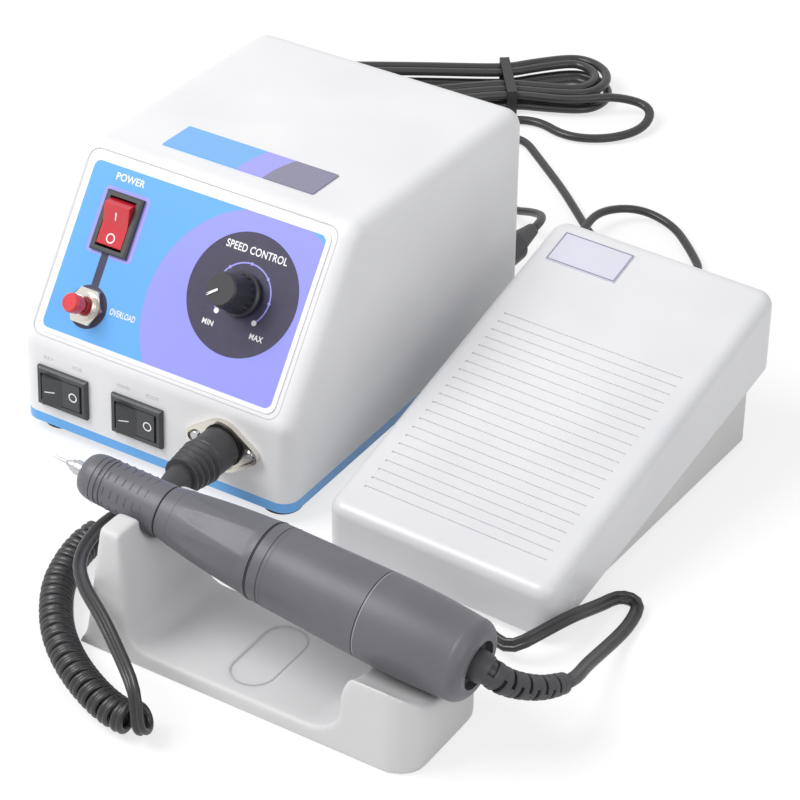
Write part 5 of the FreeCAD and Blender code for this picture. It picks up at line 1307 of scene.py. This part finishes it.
# %% Thin plates
def plate(name, outline, matrix, material, body="set", hole=None, thick=0.06, closed=True):
    """A flat closed plate. With a hole of as many points, it is a frame, ring or arc."""
    count = len(outline)
    if hole is None:
        vertices = [(x, y, 0) for x, y in outline] + [(x, y, thick) for x, y in outline]
        faces = [tuple(reversed(range(count))), tuple(range(count, 2 * count))]
        faces += [(i, (i + 1) % count, count + (i + 1) % count, count + i) for i in range(count)]
    else:
        vertices = [(x, y, z) for z in (0, thick) for line in (outline, hole) for x, y in line]
        faces = []
        for i in range(count if closed else count - 1):
            j = (i + 1) % count
            faces += [
                (2 * count + i, 2 * count + j, 3 * count + j, 3 * count + i),
                (i, count + i, count + j, j),
                (i, j, 2 * count + j, 2 * count + i),
                (count + j, count + i, 3 * count + i, 3 * count + j),
            ]
        if not closed:
            e = count - 1
            faces.append((0, 2 * count, 3 * count, count))
            faces.append((e, count + e, 3 * count + e, 2 * count + e))
    piece = new_piece(name, vertices, faces, smooth=False)
    piece.data.transform(matrix)
    wear(material, piece)
    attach(piece, body)
    return piece


def round_outline(x, y, radius, count=64, start=0.0, turn=360.0):
    whole = abs(turn) == 360
    steps = count if whole else count - 1
    angles = [math.radians(start + turn * i / steps) for i in range(count)]
    return [(x + radius * math.cos(a), y + radius * math.sin(a)) for a in angles]


def soft_rectangle(left, low, right, high, radius, corner=8):
    outline = []
    for x, y, start in (
        (right - radius, low + radius, -90), (right - radius, high - radius, 0),
        (left + radius, high - radius, 90), (left + radius, low + radius, 180),
    ):
        outline += round_outline(x, y, radius, corner, start, 90)
    return outline


print("a soft rectangle has", len(soft_rectangle(0, 0, 2, 1, 0.1)), "points")

# %% [markdown]
# The panel's plates are a white margin, a dark disc behind the speed knob with a thin arc, a
# smaller disc and a link by the breaker, and a lilac halo round the power switch. A fine line
# of painted shade marks the step where the film is sunk in the case, and another marks the
# shaded edge of a shallow recess in the cradle's floor.

# %% The plates on the panel and in the cradle
white_ink = finish("white ink", "FDFDFE", "F6F6F8", 0.45, 2400, 0.02)
slate_ink = finish("slate ink", "393550", "322E48", 0.42, 1500, 0.1, cloud=300)
lilac_ink = finish("lilac ink", "A9A6F8", "A29FF2", 0.4, 2400, 0.02)
# Painted shade: the recess lines are a grey that stands for the shade along a sunk step.
recess_shade = finish("recess shadow", "C4C4C8", "BBBBC0", 0.5, 2400, 0.02)
film_top = face_matrix("slope", 0, 0, 0.51)
plate(
    "panel_white_margin", soft_rectangle(5.9, 3.2, 103.0, 65.9, 3.4),
    face_matrix("slope", 0, 0, 0.02), white_ink,
    hole=soft_rectangle(7.7, 4.9, 101.2, 64.2, 2.4), thick=0.42,
)
plate(
    "panel_recess_line", soft_rectangle(3.9, 1.5, 105.0, 68.3, 4.4),
    face_matrix("slope", 0, 0, 0.0), recess_shade,
    hole=soft_rectangle(4.15, 1.75, 104.75, 68.05, 4.2), thick=0.05,
)
plate("speed_disc", round_outline(78.1, 37.2, 21.0, 96), film_top, slate_ink)
# Painted shade: this oblong line stands for the shaded edge of a shallow recess in the floor.
oblong = soft_rectangle(139.4, -79.8, 154.6, -48.2, 7.5, 16)
inner = soft_rectangle(139.7, -79.5, 154.3, -48.5, 7.2, 16)
flat_table = Matrix.Translation(on_table(0, 0, 5.98)) @ Matrix.Scale(0.001, 4)
plate("rest_mark_line", oblong, flat_table, recess_shade, hole=inner, thick=0.12)
plate("overload_disc", round_outline(23.0, 16.0, 7.5, 64), film_top, slate_ink)
link = soft_rectangle(21.5, 22.0, 24.4, 35.8, 0.2, 2)
plate("overload_link", link, film_top, slate_ink, thick=0.05)
plate(
    "power_halo", soft_rectangle(14.6, 33.8, 33.6, 57.2, 2.0), film_top, lilac_ink,
    hole=soft_rectangle(16.7, 35.1, 31.5, 55.9, 0.6), thick=0.03,
)
plate(
    "speed_arc", round_outline(78.1, 37.2, 10.9, 72, -44.8, 270.8),
    face_matrix("slope", 0, 0, 0.56), lilac_ink,
    hole=round_outline(78.1, 37.2, 10.4, 72, -44.8, 270.8), thick=0.05, closed=False,
)
print("plates are on the panel")

# %% [markdown]
# The strip on the roof has three flat colours: blue, lilac and slate. It is a thin plate that
# leans with the roof.

# %% The strip on the roof
roof_matrix = (
    Matrix.Translation(on_table(0, 42.2, 94.3))
    @ Matrix.Rotation(math.radians(-1.87), 4, "X")
    @ Matrix.Scale(0.001, 4)
)
roof_strip = plate(
    "roof_strip", soft_rectangle(24.9, 10.4, 86.1, 26.3, 0.4, 3), roof_matrix, roof_film, thick=0.5
)
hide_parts("top_label")
print("the strip lies from", tuple(roof_strip.data.vertices[0].co))

# %% [markdown]
# The scale round the speed knob is seven dots at equal angles, from least to most. A pattern
# like that is what Geometry Nodes are for: an arc is cut into as many points as there are marks,
# a small disc is set on each, and the tree's inputs are the numbers on the drawing.

# %% Helpers for trees
def new_tree(name, inputs):
    tree = bpy.data.node_groups.new(name, "GeometryNodeTree")
    tree.interface.new_socket("Geometry", in_out="INPUT", socket_type="NodeSocketGeometry")
    for word, kind, value in inputs:
        socket = tree.interface.new_socket(word, in_out="INPUT", socket_type="NodeSocket" + kind)
        if value is not None:
            socket.default_value = value
    tree.interface.new_socket("Geometry", in_out="OUTPUT", socket_type="NodeSocketGeometry")
    return tree, tree.nodes.new("NodeGroupInput"), tree.nodes.new("NodeGroupOutput")


def end_tree(tree, group_in, group_out, geometry):
    """Instances become real, take the material and go out."""
    real = tree.nodes.new("GeometryNodeRealizeInstances")
    paint = tree.nodes.new("GeometryNodeSetMaterial")
    tree.links.new(geometry, real.inputs[0])
    tree.links.new(real.outputs[0], paint.inputs["Geometry"])
    tree.links.new(group_in.outputs["Material"], paint.inputs["Material"])
    tree.links.new(paint.outputs[0], group_out.inputs[0])


def grow(name, tree, matrix, body, **values):
    """Runs a tree on an empty mesh, keeps the result as a plain mesh and sets it in place."""
    seed = new_piece(name + "_seed", [], [])
    modifier = seed.modifiers.new("tree", "NODES")
    modifier.node_group = tree
    for item in tree.interface.items_tree:
        key = item.name.replace(" ", "_").lower()
        if item.in_out == "INPUT" and key in values:
            modifier[item.identifier] = values[key]
    deps = bpy.context.evaluated_depsgraph_get()
    mesh = bpy.data.meshes.new_from_object(seed.evaluated_get(deps), depsgraph=deps)
    bpy.data.objects.remove(seed)
    mesh.name = name
    mesh.transform(matrix)
    piece = bpy.data.objects.new(name, mesh)
    bpy.context.scene.collection.objects.link(piece)
    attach(piece, body)
    print(name, "has", len(mesh.polygons), "faces")
    return piece


print("trees can be grown")

# %% [markdown]
# This tree has the count, the radius and the sweep of the arc as its inputs. The first and the
# last mark are larger and white, so they are set as plates of their own.

# %% A tree for dots on an arc
dots, dots_in, dots_out = new_tree(
    "dots on an arc",
    [
        ("Count", "Int", 7), ("Radius", "Float", 10.65), ("Start", "Float", 0.0),
        ("Sweep", "Float", 1.0), ("Dot radius", "Float", 0.6), ("Thickness", "Float", 0.06),
        ("Material", "Material", None),
    ],
)
arc = dots.nodes.new("GeometryNodeCurveArc")
points = dots.nodes.new("GeometryNodeCurveToPoints")
disc = dots.nodes.new("GeometryNodeMeshCylinder")
disc.inputs["Vertices"].default_value = 24
setter = dots.nodes.new("GeometryNodeInstanceOnPoints")
for word, target in (
    ("Radius", arc.inputs["Radius"]), ("Start", arc.inputs["Start Angle"]),
    ("Sweep", arc.inputs["Sweep Angle"]), ("Count", points.inputs["Count"]),
    ("Dot radius", disc.inputs["Radius"]), ("Thickness", disc.inputs["Depth"]),
):
    dots.links.new(dots_in.outputs[word], target)
dots.links.new(arc.outputs[0], points.inputs[0])
dots.links.new(points.outputs[0], setter.inputs["Points"])
dots.links.new(disc.outputs[0], setter.inputs["Instance"])
end_tree(dots, dots_in, dots_out, setter.outputs[0])
arc.inputs["Resolution"].default_value = 97
grow(
    "speed_scale_dots", dots, face_matrix("slope", 78.1, 37.2, 0.6), "set", count=7, radius=10.65,
    start=math.radians(-44.8), sweep=math.radians(270.8), dot_radius=0.55, material=lilac_ink,
)
for name, angle in (("least_dot", 226.0), ("most_dot", -44.8)):
    x = 78.1 + 10.65 * math.cos(math.radians(angle))
    y = 37.2 + 10.65 * math.sin(math.radians(angle))
    plate(name, round_outline(x, y, 0.95, 32), face_matrix("slope", 0, 0, 0.6), white_ink)

# %% [markdown]
# Words are text objects made into meshes. A word is measured after it is made and scaled to the
# width and height that it has on the real panel, so no size of any typeface has to be known.

# %% Words
def words(name, text, left, low, right, high, matrix, material, body="set", thick=0.05, bold=0.0):
    data = bpy.data.curves.new(name, "FONT")
    data.body = text
    data.size = 10
    data.extrude = thick / 2
    data.offset = bold
    data.space_character = 1.05
    holder = bpy.data.objects.new(name, data)
    mesh = bpy.data.meshes.new_from_object(holder)
    bpy.data.objects.remove(holder)
    xs = [v.co.x for v in mesh.vertices]
    ys = [v.co.y for v in mesh.vertices]
    across = (right - left) / (max(xs) - min(xs))
    upward = (high - low) / (max(ys) - min(ys))
    to_corner = Matrix.Translation((-min(xs), -min(ys), thick / 2))
    fit = Matrix.Diagonal((across, upward, 1, 1)) @ to_corner
    mesh.transform(matrix @ Matrix.Translation((left, low, 0)) @ fit)
    mesh.name = name
    piece = bpy.data.objects.new(name, mesh)
    bpy.context.scene.collection.objects.link(piece)
    wear(material, piece)
    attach(piece, body)
    return piece


word_level = face_matrix("slope", 0, 0, 0.56)
words(
    "word_speed_control", "SPEED CONTROL", 66.3, 50.7, 90.4, 53.4, word_level, white_ink,
    bold=0.18,
)
words("word_min", "MIN", 66.8, 24.1, 71.1, 26.0, word_level, white_ink, bold=0.2)
words("word_max", "MAX", 85.6, 24.3, 90.8, 26.3, word_level, white_ink, bold=0.2)
words("word_power", "POWER", 17.5, 59.7, 29.2, 62.3, film_top, white_ink, bold=0.2)
words("word_overload", "OVERLOAD", 31.8, 16.1, 42.2, 18.3, film_top, white_ink, bold=0.1)
front_level = face_matrix("front", 0, 0, 0.0)
faint_ink = finish("faint grey print", "C9C9CC", "C0C0C4", 0.5, 2400, 0.02)
words("word_reverse", "REV", 10.2, 22.2, 14.2, 23.6, front_level, faint_ink)
words("word_forward", "FOR", 22.4, 22.2, 26.4, 23.6, front_level, faint_ink)
words("word_hand", "HAND", 41.0, 22.2, 46.4, 23.6, front_level, faint_ink)
words("word_foot", "FOOT", 53.2, 22.2, 58.4, 23.6, front_level, faint_ink)
print("words are printed")

# %% [markdown]
# The marks on the rockers lie on faces that tilt. Instead of working out each face, the mark is
# drawn flat in front of the switch and dropped on to it: a ray from each of its points finds the
# rocker's surface, and the point stays a hair above it.

# %% Marks dropped on to a surface
def drop(piece, node, direction, lift=0.00004):
    """Moves each point of a thin plate along a direction until it lies on a node."""
    tree = surface_tree(node)
    direction = Vector(direction).normalized()
    depths = [v.co.dot(direction) for v in piece.data.vertices]
    deepest = max(depths)
    missed = 0
    for vertex, depth in zip(piece.data.vertices, depths):
        hit = tree.ray_cast(vertex.co - direction * 0.03, direction)[0]
        if hit is None:
            missed += 1
            continue
        vertex.co = hit - direction * (lift + (deepest - depth))
    print(piece.name, "is dropped on", node, "with", missed, "points beside it")


def facing(face):
    """The direction into a face, from outside."""
    return (on_face(face, 0, 0, 0) - on_face(face, 0, 0, 10)).normalized()


def rocker_marks(node, face, across, up, dash_at, ring_at, upright):
    """A dash and a ring, the signs for on and off, either side of a rocker's middle."""
    level = face_matrix(face, 0, 0, 6)
    if upright:
        low, high = up + dash_at - 1.35, up + dash_at + 1.35
        dash = soft_rectangle(across - 0.25, low, across + 0.25, high, 0.2, 2)
        x, y = across, up + ring_at
    else:
        left, right = across + dash_at - 1.7, across + dash_at + 1.7
        dash = soft_rectangle(left, up - 0.2, right, up + 0.2, 0.15, 2)
        x, y = across + ring_at, up
    on_mark = plate(node + "_on_mark", dash, level, white_ink, node, thick=0.04)
    off_mark = plate(
        node + "_off_mark", round_outline(x, y, 1.75, 40), level, white_ink, node,
        hole=round_outline(x, y, 1.3, 40), thick=0.04,
    )
    for mark in (on_mark, off_mark):
        drop(mark, node, facing(face))


rocker_marks("power_rocker", "slope", 24.1, 45.5, 2.3, -5.2, True)
rocker_marks("direction_rocker", "front", 18.4, 12.0, -3.6, 5.0, False)
rocker_marks("mode_rocker", "front", 49.75, 12.0, -3.6, 5.0, False)

# %% [markdown]
# The knob's pointer is a white bar from near the middle to the rim. It is drawn turned to where
# the knob points in the photograph, dropped on to the knob, and rides on it.

# %% The knob's pointer
turn = math.radians(217.6)
pointer = plate(
    "knob_pointer", soft_rectangle(0.6, -0.42, 5.3, 0.42, 0.3, 4),
    face_matrix("slope", 78.1, 37.2, 17.5, turn), white_ink, "speed_knob", thick=0.05,
)
drop(pointer, "speed_knob", facing("slope"), 0.00005)
print("the pointer is on the knob")

# %% [markdown]
# The handpiece is turned from several shells, and each joint shows as a hair line: a dark one
# where the twist grip begins and ends, and softer ones next to them. A ring that is half sunk
# in the surface gives such a line from every side. Its radius comes from the shell it lies on.

# %% Lines round the handpiece
def shell_radius(node, along):
    """How far the shell's surface is from the axis, a little above the axis on the far side."""
    tree = surface_tree(node)
    start = on_hand(along, 30, 40)
    inwards = (on_hand(along, 30, 0) - start).normalized()
    hit = tree.ray_cast(start, inwards)[0]
    return (hit - on_hand(along, 0, 0)).length * 1000


def hand_ring(name, node, along, wire, material, body="handpiece", radius=None):
    radius = radius or shell_radius(node, along)
    count, sides = 72, 8
    vertices, faces = [], []
    for i in range(count):
        for j in range(sides):
            a, b = 2 * math.pi * j / sides, 360 * i / count
            out = radius + 0.6 * wire * math.cos(a)
            vertices.append(on_hand(along + wire * math.sin(a), b, out))
    for i in range(count):
        for j in range(sides):
            k, m = (i + 1) % count, (j + 1) % sides
            faces.append((i * sides + j, k * sides + j, k * sides + m, i * sides + m))
    ring = new_piece(name, vertices, faces)
    wear(material, ring)
    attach(ring, body)
    return ring


dark_line = finish("dark joint line", "1E1E21", "28282B", 0.6, 1800, 0.05)
soft_line = finish("soft turned line", "6A6A70", "606066", 0.5, 1800, 0.05)
pale_line = finish("pale turned line", "A7A7AD", "9D9DA3", 0.4, 1800, 0.05)
hand_ring("line_nose", "front_sleeve", 11.53, 0.24, dark_line, radius=7.52)
hand_ring("line_sleeve_end", "front_sleeve", 36.8, 0.22, dark_line)
hand_ring("line_grip_front", "twist_grip", 42.0, 0.14, soft_line, "twist_grip", swollen(42.0))
hand_ring("line_housing_front", "motor_housing", 74.1, 0.32, dark_line)
hand_ring("line_housing_step", "motor_housing", 79.4, 0.14, soft_line)
hand_ring("line_rear_joint", "rear_sleeve", 113.7, 0.14, pale_line)
print("lines are turned")

# %% [markdown]
# The front sleeve has rows of short cross notches, so that the fingers don't slip. A second
# tree sets a short arc on a row of points along the sleeve, again and again round it. The arcs
# are sunk in the shell, and only their backs show. Their grey is painted shade, standing for the
# shade inside the cuts.

# %% A tree for rows of notches
notches, notch_in, notch_out = new_tree(
    "rows of notches",
    [
        ("Rows", "Int", 8), ("In a row", "Int", 8), ("Step", "Float", 3.0),
        ("First", "Float", 14.0), ("Radius", "Float", 7.8), ("Growth", "Float", 0.0123),
        ("Arc", "Float", 0.36), ("Wire", "Float", 0.2), ("Material", "Material", None),
    ],
)
add = notches.nodes.new
join = notches.links.new
along_row = add("GeometryNodeMeshLine")
along_row.mode = "OFFSET"
step_vector = add("ShaderNodeCombineXYZ")
first_vector = add("ShaderNodeCombineXYZ")
join(notch_in.outputs["In a row"], along_row.inputs["Count"])
join(notch_in.outputs["Step"], step_vector.inputs["X"])
join(notch_in.outputs["First"], first_vector.inputs["X"])
join(first_vector.outputs[0], along_row.inputs["Start Location"])
join(step_vector.outputs[0], along_row.inputs["Offset"])
cut = add("GeometryNodeCurveArc")
cut.inputs["Resolution"].default_value = 9
join(notch_in.outputs["Radius"], cut.inputs["Radius"])
join(notch_in.outputs["Arc"], cut.inputs["Sweep Angle"])
wire = add("GeometryNodeCurvePrimitiveCircle")
wire.inputs["Resolution"].default_value = 6
join(notch_in.outputs["Wire"], wire.inputs["Radius"])
solid = add("GeometryNodeCurveToMesh")
solid.inputs["Fill Caps"].default_value = True
join(cut.outputs[0], solid.inputs["Curve"])
join(wire.outputs[0], solid.inputs["Profile Curve"])
upright = add("GeometryNodeTransform")
upright.inputs["Rotation"].default_value = (0, math.radians(90), 0)
join(solid.outputs[0], upright.inputs["Geometry"])
one_row = add("GeometryNodeInstanceOnPoints")
join(along_row.outputs[0], one_row.inputs["Points"])
in_row = add("GeometryNodeInputIndex")
wider = add("ShaderNodeMath")
wider.operation = "MULTIPLY_ADD"
wider.inputs[2].default_value = 1.0
join(in_row.outputs[0], wider.inputs[0])
join(notch_in.outputs["Growth"], wider.inputs[1])
size_vector = add("ShaderNodeCombineXYZ")
size_vector.inputs["X"].default_value = 1.0
join(wider.outputs[0], size_vector.inputs["Y"])
join(wider.outputs[0], size_vector.inputs["Z"])
join(size_vector.outputs[0], one_row.inputs["Scale"])
join(upright.outputs[0], one_row.inputs["Instance"])
print("one row of notches has", len(notches.nodes), "nodes")

# %% [markdown]
# The row is then set on a number of points that all lie in the middle, each turned by one more
# share of the circle. The sleeve widens backwards, so each notch in a row is a little larger
# than the one before it.

# %% The rows round the sleeve
rounds = add("GeometryNodeMeshLine")
rounds.mode = "OFFSET"
rounds.inputs["Offset"].default_value = (0, 0, 0)
join(notch_in.outputs["Rows"], rounds.inputs["Count"])
number = add("GeometryNodeInputIndex")
slice_angle = add("ShaderNodeMath")
slice_angle.operation = "DIVIDE"
slice_angle.inputs[0].default_value = 2 * math.pi
join(notch_in.outputs["Rows"], slice_angle.inputs[1])
turned = add("ShaderNodeMath")
turned.operation = "MULTIPLY"
join(number.outputs[0], turned.inputs[0])
join(slice_angle.outputs[0], turned.inputs[1])
turn_vector = add("ShaderNodeCombineXYZ")
join(turned.outputs[0], turn_vector.inputs["X"])
every_row = add("GeometryNodeInstanceOnPoints")
join(rounds.outputs[0], every_row.inputs["Points"])
join(one_row.outputs[0], every_row.inputs["Instance"])
join(turn_vector.outputs[0], every_row.inputs["Rotation"])
end_tree(notches, notch_in, notch_out, every_row.outputs[0])
# Painted shade: the notch grey stands for the shade inside the cuts.
notch_shade = finish("notch shadow", "6C6C72", "626268", 0.6, 1800, 0.05)
grow(
    "sleeve_notches", notches, HAND_MATRIX, "handpiece", rows=9, in_a_row=7, step=2.9, first=13.8,
    radius=shell_radius("front_sleeve", 13.8) - 0.02, growth=0.0123, arc=0.34, wire=0.2,
    material=notch_shade,
)

# %% [markdown]
# One small sign is left. The plate on the pedal has a thin dark edge, and its face is bare.
# The edge is painted shade along the plate's rim: a frame of the plate's own size, dropped on
# to its tilted face.

# %% The pedal plate's edge, in painted shade
pedal_matrix = (
    Matrix.Translation(on_table(128.5, -5.1, 90))
    @ Matrix.Rotation(PEDAL_TURN, 4, "Z")
    @ Matrix.Scale(0.001, 4)
)
flat = [pedal_matrix.inverted() @ v.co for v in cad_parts["pedal_plate"].data.vertices]
left, right = min(v.x for v in flat) + 0.1, max(v.x for v in flat) - 0.1
near, far = min(v.y for v in flat) + 0.25, max(v.y for v in flat) - 0.25
# Painted shade: the dark frame stands for the shade along the plate's rim.
plate_edge_shade = finish("plate edge shade", "8F92A8", "878A9F", 0.5, 2400, 0.02)
EDGE = 0.4
edge_hole = soft_rectangle(left + EDGE, near + EDGE, right - EDGE, far - EDGE, 0.3, 3)
edge = plate(
    "pedal_plate_edge", soft_rectangle(left, near, right, far, 0.3, 3), pedal_matrix, plate_edge_shade,
    "treadle", hole=edge_hole, thick=0.05,
)
drop(edge, "pedal_plate", (0, 0, -1))
print("the plate is", round(right - left, 1), "by", round(far - near, 1), "mm")
